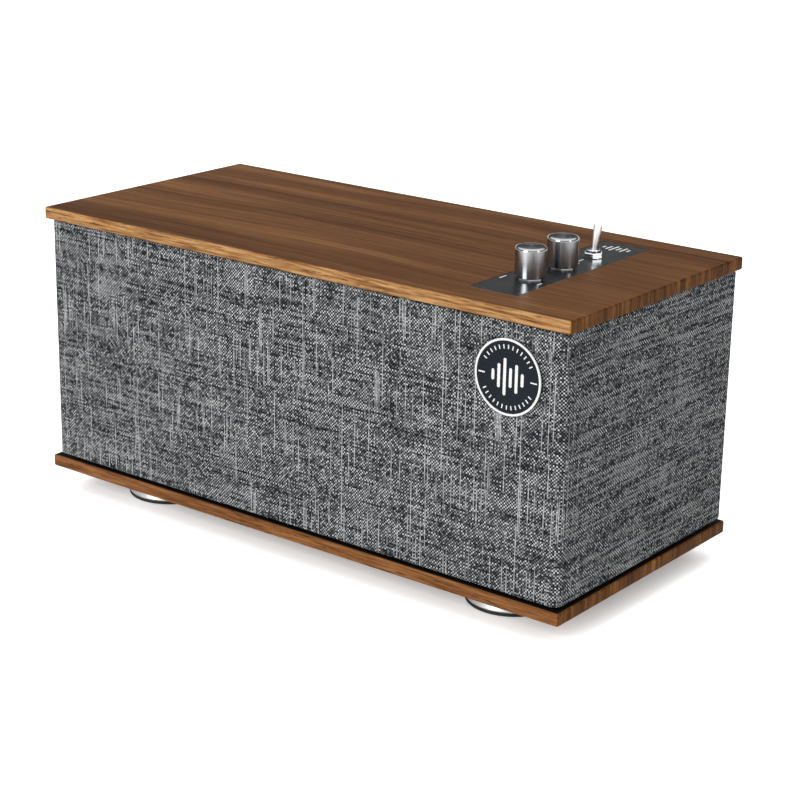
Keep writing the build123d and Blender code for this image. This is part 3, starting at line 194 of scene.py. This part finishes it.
def walnut():
    """Satin walnut veneer, grain along X: slow figure, fine growth lines and short dark pores."""
    wood = Finish("walnut", {"IOR": 1.45, "Specular IOR Level": 0.03})
    place = wood.place()
    warp = wood.noise(wood.stretched(place, (4.0, 9.0, 9.0)), detail=2.0)
    bent = wood.vector_maths("ADD", place, wood.joined(0.0, wood.maths("MULTIPLY", warp, 0.03)))
    figure = wood.noise(wood.stretched(bent, (2.4, 42.0, 14.0)), detail=4.0, roughness=0.6)
    lines = wood.noise(wood.stretched(bent, (7.0, 420.0, 60.0)), detail=5.0, roughness=0.65)
    pores = wood.noise(wood.stretched(bent, (85.0, 2600.0, 1500.0)), detail=2.0)
    tone = wood.maths("ADD", wood.maths("MULTIPLY", figure, 0.62), wood.maths("MULTIPLY", lines, 0.38))
    colour = wood.ramp(tone, [
        (0.30, (0.030, 0.0108, 0.0030)),
        (0.44, (0.062, 0.0243, 0.0078)),
        (0.54, (0.091, 0.0385, 0.0130)),
        (0.68, (0.160, 0.0738, 0.0270)),
    ])
    streaks = wood.noise(wood.stretched(bent, (4.5, 330.0, 80.0)), detail=3.0, roughness=0.6)
    streak_mask = wood.spread(streaks, 0.56, 0.68, 1.0, 0.62, smooth=True)
    colour = wood.shaded(colour, streak_mask, streak_mask, streak_mask)
    # Along the front edges, the top board's strip is paler and the bottom board's redder
    x, y, z = wood.split(place)
    at_front = wood.spread(y, STRIP_FROM, STRIP_TO, 1.0, 0.0, smooth=True)
    upper = wood.maths("GREATER_THAN", z, BETWEEN_BOARDS)
    strip = wood.maths("MULTIPLY", at_front, upper)
    strip_tone = wood.noise(wood.stretched(bent, (40.0, 60.0, 900.0)), detail=5.0, roughness=0.7)
    pale = wood.ramp(strip_tone, [
        (0.36, (0.070, 0.028, 0.009)),
        (0.48, (0.160, 0.078, 0.028)),
        (0.62, (0.255, 0.142, 0.060)),
    ])
    reddish = wood.ramp(strip_tone, [
        (0.36, (0.052, 0.019, 0.006)),
        (0.48, (0.098, 0.038, 0.012)),
        (0.62, (0.150, 0.065, 0.024)),
    ])
    lower_strip = wood.maths("MULTIPLY", at_front, wood.maths("SUBTRACT", 1.0, upper))
    colour = wood.mix(strip, colour, pale)
    colour = wood.mix(lower_strip, colour, reddish)
    # Across the ends the growth layers show as upright stripes
    at_end = wood.spread(wood.maths("ABSOLUTE", x), END_FROM, END_TO, smooth=True)
    layers = wood.noise(wood.stretched(place, (10.0, 560.0, 30.0)), detail=4.0, roughness=0.6)
    stripe = wood.maths("MULTIPLY", at_end, wood.spread(layers, 0.38, 0.62, -0.55, 0.25))
    red = wood.maths("ADD", stripe, 1.0)
    green = wood.maths("SUBTRACT", red, wood.maths("MULTIPLY", at_end, 0.10))
    blue = wood.maths("SUBTRACT", red, wood.maths("MULTIPLY", at_end, 0.45))
    colour = wood.shaded(colour, red, green, blue)
    # Painted shade: the bottom board's upper face, in the gap below the cloth, is painted near-black to
    # stand in for the shadow in that gap
    inside_front = wood.maths("GREATER_THAN", y, SHADE_GAP_FRONT)
    inside_end = wood.maths("LESS_THAN", wood.maths("ABSOLUTE", x), SHADE_GAP_END)
    inside = wood.maths("MULTIPLY", inside_front, inside_end)
    lower = wood.maths("LESS_THAN", z, BETWEEN_BOARDS)
    above = wood.maths("MULTIPLY", wood.spread(z, SHADE_GAP_FROM, SHADE_GAP_TO), lower)
    painted_gap_shade = wood.maths("MULTIPLY", inside, above)
    colour = wood.mix(painted_gap_shade, colour, (0.004, 0.0035, 0.003))
    pore_mask = wood.spread(pores, 0.33, 0.41, 0.45, 1.0, smooth=True)
    colour = wood.shaded(colour, pore_mask, pore_mask, pore_mask)
    wood.drive("Base Color", colour)
    wood.drive("Roughness", wood.spread(lines, 0.3, 0.7, 0.50, 0.38))
    height = wood.maths("ADD", wood.maths("MULTIPLY", pore_mask, 0.7), wood.maths("MULTIPLY", lines, 0.5))
    wood.bump(height, 0.00008, 0.6)
    return wood.material


THREAD = 0.00084  # pitch of the weave, both ways
FRONT_ZONE = (-0.070, -0.060)  # y over which the front's slubs give way to those of the ends


def grille_weave():
    """Plain heather weave: threads along the height and the length, each going from charcoal to white."""
    cloth = Finish("grille_weave", {"Roughness": 0.95, "Specular IOR Level": 0.04})
    along = cloth.add("UVMap", {}, uv_map="weave")
    wander = cloth.noise(cloth.stretched(along, (70.0, 70.0, 1.0)), detail=2.0)
    drift = cloth.spread(wander, 0.0, 1.0, -0.25 * THREAD, 0.25 * THREAD)
    u, v, _ = cloth.split(cloth.vector_maths("ADD", along, cloth.joined(drift, drift)))
    column = cloth.maths("DIVIDE", u, THREAD)
    row = cloth.maths("DIVIDE", v, THREAD)
    warp_index = cloth.maths("FLOOR", column)
    weft_index = cloth.maths("FLOOR", row)
    across_u = cloth.maths("FRACT", column)
    across_v = cloth.maths("FRACT", row)
    turn = cloth.maths("PINGPONG", cloth.maths("ADD", warp_index, weft_index), 1.0)
    # Each crossing has its own tone, on top of its thread's tone, which changes along the thread
    warp_place = cloth.joined(
        cloth.maths("MULTIPLY", warp_index, 7.31),
        cloth.maths("MULTIPLY", v, 34.0),
    )
    weft_place = cloth.joined(
        cloth.maths("MULTIPLY", u, 30.0),
        cloth.maths("ADD", cloth.maths("MULTIPLY", weft_index, 5.77), 31.7),
    )
    speck = cloth.add("TexWhiteNoise", {0: cloth.joined(warp_index, weft_index)}, noise_dimensions="2D")
    warp_tone = cloth.noise(warp_place, detail=1.0)
    weft_tone = cloth.noise(weft_place, detail=1.0)
    patch = cloth.noise(cloth.stretched(along, (45.0, 75.0, 1.0)), detail=3.0)
    common = cloth.maths(
        "ADD",
        cloth.spread(patch, 0.3, 0.7, -0.045, 0.045),
        cloth.spread(speck, 0.0, 1.0, -0.20, 0.20),
    )
    warp_colour = cloth.ramp(cloth.maths("ADD", cloth.spread(warp_tone, 0.2, 0.8, 0.16, 0.66), common), [
        (0.36, (0.003, 0.004, 0.006)),
        (0.54, (0.015, 0.017, 0.020)),
        (0.68, (0.095, 0.098, 0.101)),
        (0.84, (0.32, 0.325, 0.325)),
    ])
    weft_colour = cloth.ramp(cloth.maths("ADD", cloth.spread(weft_tone, 0.2, 0.8, 0.38, 0.76), common), [
        (0.26, (0.005, 0.007, 0.009)),
        (0.42, (0.030, 0.033, 0.037)),
        (0.58, (0.130, 0.134, 0.137)),
        (0.80, (0.40, 0.405, 0.40)),
    ])
    # Here and there a pale slub runs up the height or along the length
    up_place = cloth.joined(cloth.maths("MULTIPLY", warp_index, 13.1), cloth.maths("MULTIPLY", v, 26.0))
    along_place = cloth.joined(cloth.maths("MULTIPLY", u, 24.0), cloth.maths("MULTIPLY", weft_index, 11.7))
    slub_up = cloth.noise(up_place, detail=0.0)
    slub_along = cloth.noise(along_place, detail=0.0)
    pale = (0.36, 0.365, 0.37)
    narrow_up = cloth.spread(across_u, 0.2, 0.35)
    narrow_up = cloth.maths("MULTIPLY", narrow_up, cloth.spread(across_u, 0.65, 0.8, 1.0, 0.0))
    narrow_up = cloth.maths("MULTIPLY", narrow_up, cloth.spread(slub_up, 0.62, 0.74))
    # The upright slubs show most on the front, the others round the ends
    depth = cloth.split(cloth.place())[1]
    narrow_up = cloth.maths("MULTIPLY", narrow_up, cloth.spread(depth, *FRONT_ZONE, 1.0, 0.25))
    level = cloth.maths(
        "MULTIPLY",
        cloth.spread(slub_along, 0.54, 0.72),
        cloth.spread(depth, *FRONT_ZONE, 0.6, 0.9),
    )
    warp_colour = cloth.mix(narrow_up, warp_colour, pale)
    weft_colour = cloth.mix(cloth.maths("MULTIPLY", narrow_up, 0.5), weft_colour, pale)
    weft_colour = cloth.mix(level, weft_colour, pale)
    colour = cloth.mix(turn, weft_colour, warp_colour)
    fibres = cloth.noise(cloth.stretched(along, (5200.0, 5200.0, 1.0)), detail=2.0)
    dome_u = cloth.maths("SINE", cloth.maths("MULTIPLY", across_u, math.pi))
    dome_v = cloth.maths("SINE", cloth.maths("MULTIPLY", across_v, math.pi))
    dome = cloth.maths("SQRT", cloth.maths("MULTIPLY", dome_u, dome_v))
    # Painted shade: the colour darkens towards the hollows between the threads' domes, and a fine fibre
    # noise varies the tone on top
    painted_hollow_shade = cloth.spread(dome, 0.0, 0.9, 0.26, 0.92)
    shade = cloth.maths("MULTIPLY", painted_hollow_shade, cloth.spread(fibres, 0.2, 0.8, 0.75, 1.2))
    colour = cloth.shaded(colour, shade, shade, shade)
    cloth.drive("Base Color", colour)
    cloth.bump(dome, 0.00022, 0.8)
    return cloth.material


def speckled(name, colour, roughness, grain=2200.0, depth=0.00004, sockets=None, vary=0.12):
    """Moulded, painted or cast surface: a fine grain in its relief, gloss and colour."""
    surface = Finish(name, sockets or {})
    place = surface.place()
    fine = surface.noise(place, scale=grain, detail=3.0)
    broad = surface.noise(place, scale=38.0, detail=3.0)
    tone = surface.maths("ADD", surface.maths("MULTIPLY", fine, 0.5), surface.maths("MULTIPLY", broad, 0.5))
    dark = tuple(c * (1.0 - vary) for c in colour)
    light = tuple(min(1.0, c * (1.0 + vary)) for c in colour)
    surface.drive("Base Color", surface.ramp(tone, [(0.35, dark), (0.65, light)]))
    roughest = min(1.0, roughness * 1.12)
    surface.drive("Roughness", surface.spread(broad, 0.3, 0.7, roughness * 0.88, roughest))
    surface.bump(fine, depth, 0.7)
    return surface.material


def brushed(name, colour, roughness, stretch, depth=0.00002, contrast=0.10):
    """Metal with fine parallel scratches along one axis of the frame."""
    metal = Finish(name, {"Metallic": 1.0})
    place = metal.place()
    scratches = metal.noise(metal.stretched(place, stretch), detail=4.0, roughness=0.7)
    clouds = metal.noise(place, scale=60.0, detail=2.0)
    dark = tuple(c * (1.0 - contrast) for c in colour)
    light = tuple(min(1.0, c * (1.0 + contrast)) for c in colour)
    metal.drive("Base Color", metal.ramp(scratches, [(0.35, dark), (0.65, light)]))
    wear = metal.maths("ADD", scratches, clouds)
    metal.drive("Roughness", metal.spread(wear, 0.7, 1.3, roughness * 0.9, roughness * 1.12))
    metal.bump(scratches, depth, 0.6)
    return metal.material


def turned_metal(name, colour, roughness, centre, groove=5200.0):
    """Lathe-turned metal: fine rings round a vertical axis through `centre`."""
    metal = Finish(name, {"Metallic": 1.0, "Anisotropic": 0.8, "Anisotropic Rotation": 0.25})
    place = metal.place()
    from_axis = metal.vector_maths("SUBTRACT", place, (*centre, 0.0))
    x, y, z = metal.split(from_axis)
    squares = metal.maths("ADD", metal.maths("MULTIPLY", x, x), metal.maths("MULTIPLY", y, y))
    radius = metal.maths("SQRT", squares)
    rings = metal.noise(metal.stretched(metal.joined(radius, 0.0, z), (groove, 1.0, groove)), detail=3.0)
    streaks = metal.noise(metal.stretched(from_axis, (260.0, 260.0, 40.0)), detail=2.0)
    dark = tuple(c * 0.9 for c in colour)
    light = tuple(min(1.0, c * 1.08) for c in colour)
    metal.drive("Base Color", metal.ramp(rings, [(0.3, dark), (0.7, light)]))
    metal.drive("Roughness", metal.spread(streaks, 0.3, 0.7, roughness * 0.95, roughness * 1.05))
    metal.drive("Tangent", metal.add("Tangent", {}, direction_type="RADIAL", axis="Z"))
    metal.bump(rings, 0.000012, 0.5)
    return metal.material


def pressed_fibre():
    """Black pressed fibre of a loudspeaker cone: short pale fibres in a dark felted sheet."""
    felt = Finish("cone_fibre", {"Roughness": 0.72, "Specular IOR Level": 0.35})
    place = felt.place()
    first = felt.noise(felt.stretched(place, (260.0, 260.0, 2300.0)), detail=3.0, distortion=1.2)
    second = felt.noise(felt.stretched(place, (2300.0, 260.0, 260.0)), detail=3.0, distortion=1.2)
    fibres = felt.maths("MAXIMUM", first, second)
    colour = felt.ramp(fibres, [
        (0.45, (0.014, 0.014, 0.016)),
        (0.62, (0.040, 0.040, 0.043)),
        (0.74, (0.110, 0.108, 0.105)),
    ])
    felt.drive("Base Color", colour)
    felt.bump(fibres, 0.00012, 0.7)
    return felt.material


def impregnated_cloth():
    """Amber resin-dipped cloth of the spiders: a small square weave."""
    cloth = Finish("spider_cloth", {"Roughness": 0.65})
    x, _, z = cloth.split(cloth.place())
    first = cloth.maths("SINE", cloth.maths("MULTIPLY", x, 5200.0))
    second = cloth.maths("SINE", cloth.maths("MULTIPLY", z, 5200.0))
    weave = cloth.spread(cloth.maths("MULTIPLY", first, second), -1.0, 1.0)
    cloth.drive("Base Color", cloth.ramp(weave, [(0.1, (0.30, 0.17, 0.06)), (0.9, (0.62, 0.42, 0.18))]))
    cloth.bump(weave, 0.00008, 0.6)
    return cloth.material


WIRE_PITCH = 0.0003


def wound_wire():
    """Enamelled copper wire wound round the driver's axis, turn beside turn."""
    wire = Finish("copper_winding", {"Metallic": 1.0, "Roughness": 0.28})
    _, y, _ = wire.split(wire.place())
    turns = wire.spread(wire.maths("SINE", wire.maths("MULTIPLY", y, 2 * math.pi / WIRE_PITCH)), -1.0, 1.0)
    # Painted shade: the copper colour darkens towards the grooves between the turns, where the relief is
    # low
    wire.drive("Base Color", wire.ramp(turns, [(0.0, (0.25, 0.09, 0.035)), (1.0, (0.80, 0.36, 0.17))]))
    wire.bump(turns, 0.00008, 0.8)
    return wire.material


def circuit_board():
    """Green solder resist over a maze of copper tracks, with round pads."""
    board = Finish("circuit_board", {"Roughness": 0.35})
    place = board.place()
    maze = board.add(
        "TexVoronoi",
        {"Vector": board.vector_maths("SNAP", place, (0.0006, 0.0006, 0.0006)), "Scale": 260.0},
        "Distance",
        distance="CHEBYCHEV",
        feature="F1",
    )
    tracks = board.spread(board.maths("FRACT", board.maths("MULTIPLY", maze, 4.0)), 0.42, 0.5, smooth=True)
    pads = board.add("TexVoronoi", {"Vector": place, "Scale": 330.0, "Randomness": 0.35}, "Distance")
    pad_mask = board.spread(pads, 0.16, 0.20, 1.0, 0.0, smooth=True)
    green = board.mix(tracks, (0.010, 0.075, 0.030), (0.022, 0.150, 0.060))
    board.drive("Base Color", board.mix(pad_mask, green, (0.55, 0.55, 0.52)))
    board.bump(board.maths("ADD", tracks, pad_mask), 0.00004, 0.6)
    return board.material


def axis_of(node):
    low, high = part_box(node)
    return ((low.x + high.x) / 2, (low.y + high.y) / 2)


finishes = {
    "walnut": walnut(),
    "black_mdf": speckled(
        "black_mdf", (0.010, 0.010, 0.011), 0.55, grain=1100.0, depth=0.00006,
        sockets={"Specular IOR Level": 0.3},
    ),
    "rear_black": speckled(
        "rear_black", (0.012, 0.012, 0.013), 0.60, grain=1500.0, depth=0.00009,
        sockets={"Specular IOR Level": 0.3},
    ),
    "black_plastic": speckled("black_plastic", (0.020, 0.020, 0.022), 0.50, grain=2600.0),
    "badge_black": speckled(
        "badge_black", (0.004, 0.006, 0.009), 0.26, grain=3000.0, depth=0.000004,
        sockets={"Specular IOR Level": 0.06},
    ),
    "badge_white": speckled(
        "badge_white", (0.36, 0.36, 0.35), 0.42, grain=2400.0, depth=0.00001, vary=0.03
    ),
    "plate_metal": brushed(
        "plate_metal", (0.074, 0.079, 0.085), 0.24, (1500.0, 40.0, 1500.0), depth=0.000001, contrast=0.03
    ),
    "legend_white": speckled("legend_white", (0.45, 0.46, 0.47), 0.50, depth=0.00001, vary=0.06),
    "chrome": brushed(
        "chrome", (0.58, 0.58, 0.60), 0.10, (900.0, 900.0, 900.0), depth=0.000003, contrast=0.02
    ),
    "steel": brushed("steel", (0.56, 0.56, 0.57), 0.32, (300.0, 1800.0, 1800.0)),
    "dark_steel": speckled(
        "dark_steel", (0.009, 0.009, 0.010), 0.42, grain=1400.0, depth=0.00005,
        sockets={"Specular IOR Level": 0.3},
    ),
    "rubber": speckled(
        "rubber", (0.007, 0.007, 0.008), 0.62, grain=1900.0, depth=0.00002,
        sockets={"Specular IOR Level": 0.3},
    ),
    "foam": speckled("foam", (0.030, 0.030, 0.032), 0.95, grain=900.0, depth=0.00025),
    "cone_fibre": pressed_fibre(),
    "spider_cloth": impregnated_cloth(),
    "copper": wound_wire(),
    "circuit_green": circuit_board(),
    "housing_plastic": speckled("housing_plastic", (0.030, 0.030, 0.033), 0.45, grain=2400.0),
    "brass": brushed("brass", (0.72, 0.52, 0.22), 0.25, (1200.0, 1200.0, 90.0)),
    "lead_sheath": speckled("lead_sheath", (0.016, 0.016, 0.017), 0.5, grain=1500.0, depth=0.00003),
    "foot_metal": brushed("foot_metal", (0.42, 0.42, 0.41), 0.48, (240.0, 240.0, 2600.0), depth=0.00001),
    "knob_metal": brushed("heat_sink_metal", (0.62, 0.62, 0.63), 0.35, (90.0, 90.0, 1700.0)),
}
material_slot = {part["node"]: part["material_slot"] for part in frame["record"]["subparts"]}
own_finish = {
    knob: turned_metal(knob, (0.30, 0.312, 0.325), 0.18, axis_of(knob))
    for knob in ("volume_knob", "source_knob")
}
own_finish["toggle_lever"] = brushed(
    "satin_chrome", (0.86, 0.86, 0.87), 0.30, (500.0, 500.0, 160.0), depth=0.000004, contrast=0.03
)


def paint(piece, material):
    if piece.material_slots:
        for place in piece.material_slots:
            place.material = material
    else:
        piece.data.materials.append(material)


for name, node in nodes.items():
    if material_slot[name] in finishes:
        paint(node, own_finish.get(name, finishes[material_slot[name]]))


# ==== meshes ======================================================================================
def mesh_piece(name, points, faces, sharp=35.0):
    """A smooth-shaded mesh object, creased where its faces meet at more than `sharp` degrees."""
    mesh = bpy.data.meshes.new(name)
    mesh.from_pydata(points, [], faces)
    mesh.polygons.foreach_set("use_smooth", [True] * len(mesh.polygons))
    mesh.set_sharp_from_angle(angle=math.radians(sharp))
    mesh.update()
    piece = bpy.data.objects.new(name, mesh)
    scene.collection.objects.link(piece)
    return piece


def grid_faces(rows, columns, closed_rows=False, closed_columns=False):
    """Quads of a grid of points stored row by row, wrapping round where it is closed."""
    faces = []
    for i in range(rows if closed_rows else rows - 1):
        for j in range(columns if closed_columns else columns - 1):
            row = i * columns
            below = (i + 1) % rows * columns
            beside = (j + 1) % columns
            faces.append((row + j, row + beside, below + beside, below + j))
    return faces


def steps(start, end, count):
    """`count` values from start up to, and without, end."""
    return [start + (end - start) * i / count for i in range(count)]


# ==== grille cloth ================================================================================
cloth_low, cloth_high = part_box("grille_cloth")
CLOTH_HALF = (cloth_high.x - cloth_low.x) / 2
CLOTH_FRONT = cloth_low.y
CLOTH_REAR = cloth_high.y
FRAME_DEPTH = 0.0048  # cloth and frame together
CORNER = 0.0045
EDGE = 0.0012  # radius of the fold over the frame's edges
FOLD_IN = 0.0075  # cloth glued down on the inside of the frame
CLOTH_THICK = 0.0006
FOLD_DEPTH = FRAME_DEPTH + 0.0003  # the fold lies just inside the frame
LEAST_CORNER = 0.0008  # radii that the corners and edges keep where the cloth is folded in
LEAST_EDGE = 0.0002
FRONT_STEPS = 84
HEIGHT_STEPS = 34


def plan_point(at, inset):
    """A point of the U-shaped plan, from the left rear end round the front to the right rear end.

    `at` is (part of the plan, share along it) and inset is how far inside the outer face it lies.
    """
    part, share = at
    side = CLOTH_HALF - inset
    front = CLOTH_FRONT + inset
    corner = max(CORNER - inset, LEAST_CORNER)
    tip = min(inset, FRAME_DEPTH / 2 - 0.0001)
    tip_side = CLOTH_HALF - tip
    tip_turn = max(EDGE - tip, LEAST_EDGE)
    tip_rear = CLOTH_REAR - tip
    inner_side = CLOTH_HALF - FRAME_DEPTH + tip
    mirror = -1.0 if part.startswith("left") else 1.0
    kind = part.split()[-1]
    if kind == "front":
        return ((2 * share - 1) * (side - corner), front)
    if kind == "corner":
        angle = share * math.pi / 2
        x = side - corner + corner * math.sin(angle)
        y = front + corner - corner * math.cos(angle)
    elif kind == "side":
        x = side
        y = front + corner + share * (CLOTH_REAR - EDGE - front - corner)
    elif kind == "turn":
        angle = share * math.pi / 2
        x = tip_side - tip_turn + tip_turn * math.cos(angle)
        y = tip_rear - tip_turn + tip_turn * math.sin(angle)
    else:
        x = tip_side - tip_turn - share * (tip_side - tip_turn - inner_side)
        y = tip_rear
    return (mirror * x, y)


# The plan's parts from the left rear end to the right one, with how many steps each has
half_plan = [("end", 3), ("turn", 4), ("side", 40), ("corner", 7)]
plan_places = []
for kind, count in half_plan:
    plan_places += [(f"left {kind}", 1.0 - share) for share in steps(0.0, 1.0, count)]
plan_places += [("front", share) for share in steps(0.0, 1.0, FRONT_STEPS)]
for kind, count in reversed(half_plan):
    plan_places += [(f"right {kind}", share) for share in steps(0.0, 1.0, count)]
plan_places.append(("right end", 1.0))

# (inset, z) from the fold inside the top edge, over the frame, down to the fold inside the bottom edge
edge_turn = [(EDGE * (1 - math.sin(a)), EDGE * (1 - math.cos(a))) for a in steps(0.0, math.pi / 2, 5)]
fold = [(FOLD_DEPTH, FOLD_IN * (1 - share)) for share in steps(0.0, 1.0, 4)]
over = [(FOLD_DEPTH - share * (FOLD_DEPTH - EDGE), 0.0) for share in steps(0.12, 1.0, 4)]
upper_rows = [(inset, cloth_high.z - drop) for inset, drop in fold + over + edge_turn]
lower_rows = [(inset, cloth_low.z + drop) for inset, drop in reversed(fold + over + edge_turn)]
face_rows = [(0.0, z) for z in steps(cloth_high.z - EDGE, cloth_low.z + EDGE, HEIGHT_STEPS)]
rows = upper_rows + face_rows + [(0.0, cloth_low.z + EDGE)] + lower_rows


def running_length(points):
    total = [0.0]
    for first, second in zip(points, points[1:]):
        total.append(total[-1] + math.dist(first, second))
    return total


along_plan = running_length([plan_point(place, 0.0) for place in plan_places])
along_height = running_length(rows)


def tension(x, z):
    """Slight unevenness of the stretched cloth, in metres."""
    return 0.00006 * mathutils.noise.noise((x * 28.0, z * 34.0, 4.7))


cloth_points = []
for inset, z in rows:
    for place in plan_places:
        x, y = plan_point(place, inset)
        cloth_points.append((x, y - tension(x, z) if place[0] == "front" else y, z))
# Outward faces, so that the thickness lies inside the outer face that the points are on
cloth_faces = [face[::-1] for face in grid_faces(len(rows), len(plan_places))]
cloth = mesh_piece("grille_fabric", cloth_points, cloth_faces, sharp=80.0)
weave_map = cloth.data.uv_layers.new(name="weave")
for loop in cloth.data.loops:
    i, j = divmod(loop.vertex_index, len(plan_places))
    weave_map.data[loop.index].uv = (along_plan[j], along_height[i])
thickness = cloth.modifiers.new("thickness", "SOLIDIFY")
thickness.thickness = CLOTH_THICK
thickness.offset = -1.0
paint(cloth, grille_weave())
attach(cloth, "grille")
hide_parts("grille_cloth")

# ==== surrounds and spiders =======================================================================
# Each lies between its cone and the cabinet. Profiles are (radius, height) in millimetres at the
# woofer's size, with height 0 at the face of the driver's flange.
ROLL_MIDDLE = 45.9
ROLL_OUTER = 2.9
ROLL_INNER = 2.3
LIP = 0.6
RIM = 49.9
WAVE_START = 14
WAVE_STEP = 0.35
WAVE_HEIGHT = 0.9
ROUND_STEPS = 144


def roll_profile():
    """Half-roll with a flat lip each side and a bead of glue where the lip meets the cone."""
    middle, outer, inner = ROLL_MIDDLE, ROLL_OUTER, ROLL_INNER
    foot = math.acos(LIP / outer)
    over = [(middle + outer * math.sin(a), outer * math.cos(a)) for a in steps(-foot, foot, 18)]
    over.append((middle + outer * math.sin(foot), LIP))
    under = [
        (middle + inner * math.cos(a), inner * math.sin(a))
        for a in [*steps(0.0, math.pi, 14), math.pi]
    ]
    bead = [(41.2, 0.05), (41.25, 0.42), (41.6, LIP)]
    rim = [(RIM, LIP), (RIM, 0.0)]
    return [*reversed(bead + over + rim + under)]  # this way round, the ring's faces look outwards


def spider_profile():
    """Corrugated disc with rounded waves, from the voice coil out to its flat glued edge."""
    radii = [WAVE_START + WAVE_STEP * i for i in range(40)]
    waves = [(r, -29.0 + WAVE_HEIGHT * math.sin((r - 28) * 1.3)) for r in radii]
    lower = [(12.75, -29.25), *[(r, h - 0.2) for r, h in waves], (28.5, -29.35), (34.5, -29.35)]
    upper = [(34.5, -28.95), (28.5, -28.95), *[(r, h + 0.2) for r, h in reversed(waves)], (12.75, -28.85)]
    return lower + upper


def flexing(name, profile, centre, outward, scale, material):
    """A ring turned from profile round the axis through centre along outward.

    centre is the middle of the flange's face, outward its direction, and scale the ring's size
    against the woofer's, at whose size the profile is given in millimetres.
    """
    upright = mathutils.Vector((0.0, 0.0, 1.0))
    across = outward.cross(upright)
    points = []
    for i in range(ROUND_STEPS):
        angle = 2 * math.pi * i / ROUND_STEPS
        spoke = across * math.cos(angle) + upright * math.sin(angle)
        points += [centre + (spoke * r + outward * h) * scale * 0.001 for r, h in profile]
    ring = mesh_piece(name, points, grid_faces(ROUND_STEPS, len(profile), True, True), sharp=50.0)
    paint(ring, material)
    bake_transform(ring)
    return ring


FORWARD = mathutils.Vector((0.0, -1.0, 0.0))
LEFTWARD = mathutils.Vector((-1.0, 0.0, 0.0))
RIGHTWARD = mathutils.Vector((1.0, 0.0, 0.0))
FULLRANGE_SCALE = 0.561
PASSIVE_SCALE = 0.93
baffle_low, baffle_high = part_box("front_baffle")
side_low, side_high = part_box("side_panels")


def on_baffle(node):
    low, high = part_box(node)
    return mathutils.Vector(((low.x + high.x) / 2, baffle_low.y, (low.z + high.z) / 2))


def on_side(node, x):
    low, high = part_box(node)
    return mathutils.Vector((x, (low.y + high.y) / 2, (low.z + high.z) / 2))


drivers = [("woofer", on_baffle("woofer_cone"), FORWARD, 1.0, "woofer_surround")]
for side in ("left", "right"):
    body = f"fullrange_{side}"
    drivers.append((body, on_baffle(f"{body}_cone"), FORWARD, FULLRANGE_SCALE, f"{body}_suspension"))
for side, face, outward in (("left", side_low.x, LEFTWARD), ("right", side_high.x, RIGHTWARD)):
    body = f"passive_{side}"
    drivers.append((body, on_side(f"{body}_diaphragm", face), outward, PASSIVE_SCALE, f"{body}_surround"))

for body, centre, outward, scale, roll_node in drivers:
    roll = flexing(
        f"{body}_roll", roll_profile(), centre, outward, scale, finishes["rubber"]
    )
    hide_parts(roll_node)
    if body.startswith("passive"):
        continue  # a passive radiator has no voice coil, and so no spider
    disc = flexing(
        f"{body}_disc", spider_profile(), centre, outward, scale,
        finishes["spider_cloth"],
    )
    if f"{body}_spider" in nodes:  # only the woofer's is a node of its own
        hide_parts(f"{body}_spider")

# ==== floor, light and surroundings ===============================================================
FLOOR_DROP = 0.0002  # below the feet, so that no two faces lie in one plane
COVE = [(0.5, 0.0), (2.0, 0.0), (6.0, 0.0), (11.0, 0.0), (12.5, 0.12), (13.5, 0.6), (14.0, 1.6)]
COVE_STEPS = 48
floor_points = []
for radius, height in COVE:
    for angle in steps(0.0, 2 * math.pi, COVE_STEPS):
        floor_points.append((radius * math.cos(angle), radius * math.sin(angle), height - FLOOR_DROP))
floor_faces = grid_faces(len(COVE), COVE_STEPS, closed_columns=True)
floor = mesh_piece("floor", floor_points, [tuple(range(COVE_STEPS)), *floor_faces])
floor_paper = speckled(
    "floor_paper", (0.93, 0.93, 0.93), 0.9, grain=400.0, depth=0.00001, vary=0.005,
    sockets={"Emission Color": (1.0, 1.0, 1.0, 1.0), "Emission Strength": 0.2},
)
paint(floor, floor_paper)


SPEAKER_MIDDLE = mathutils.Vector((0, 0, 0.09))


def softbox(name, round_angle, up_angle, distance, size, power):
    """A rectangular soft light aimed at the speaker's middle, round_angle from the front towards +X."""
    lamp_data = bpy.data.lights.new(name, "AREA")
    lamp_data.shape = "RECTANGLE"
    lamp_data.size = size[0]
    lamp_data.size_y = size[1]
    lamp_data.energy = power
    lamp = bpy.data.objects.new(name, lamp_data)
    scene.collection.objects.link(lamp)
    a = math.radians(round_angle)
    e = math.radians(up_angle)
    away = mathutils.Vector((math.sin(a) * math.cos(e), -math.cos(a) * math.cos(e), math.sin(e)))
    lamp.location = SPEAKER_MIDDLE + away * distance
    lamp.rotation_mode = "QUATERNION"
    lamp.rotation_quaternion = (-away).to_track_quat("-Z", "Y")


softbox("front_light", -5.0, 21.0, 2.4, (1.1, 1.5), 70.0)
softbox("right_light", 88.0, 24.0, 2.4, (0.35, 1.4), 11.0)

# Dim round the horizon and bright overhead
SKY_RISE = (0.35, 0.75)  # between these heights of the direction, from -1 to 1
SKY_DIM = 0.10
SKY_BRIGHT = 2.0
world = bpy.data.worlds.new("studio")
scene.world = world
world.use_nodes = True
sky = world.node_tree
direction = sky.nodes.new("ShaderNodeTexCoord")
apart = sky.nodes.new("ShaderNodeSeparateXYZ")
rise = sky.nodes.new("ShaderNodeMapRange")
rise.interpolation_type = "SMOOTHSTEP"
for socket, value in zip((1, 2, 3, 4), (*SKY_RISE, SKY_DIM, SKY_BRIGHT), strict=True):
    rise.inputs[socket].default_value = value
sky.links.new(direction.outputs["Generated"], apart.inputs[0])
sky.links.new(apart.outputs[2], rise.inputs[0])
sky.links.new(rise.outputs[0], sky.nodes["Background"].inputs["Strength"])
sky.nodes["Background"].inputs["Color"].default_value = (1.0, 1.0, 1.0, 1.0)
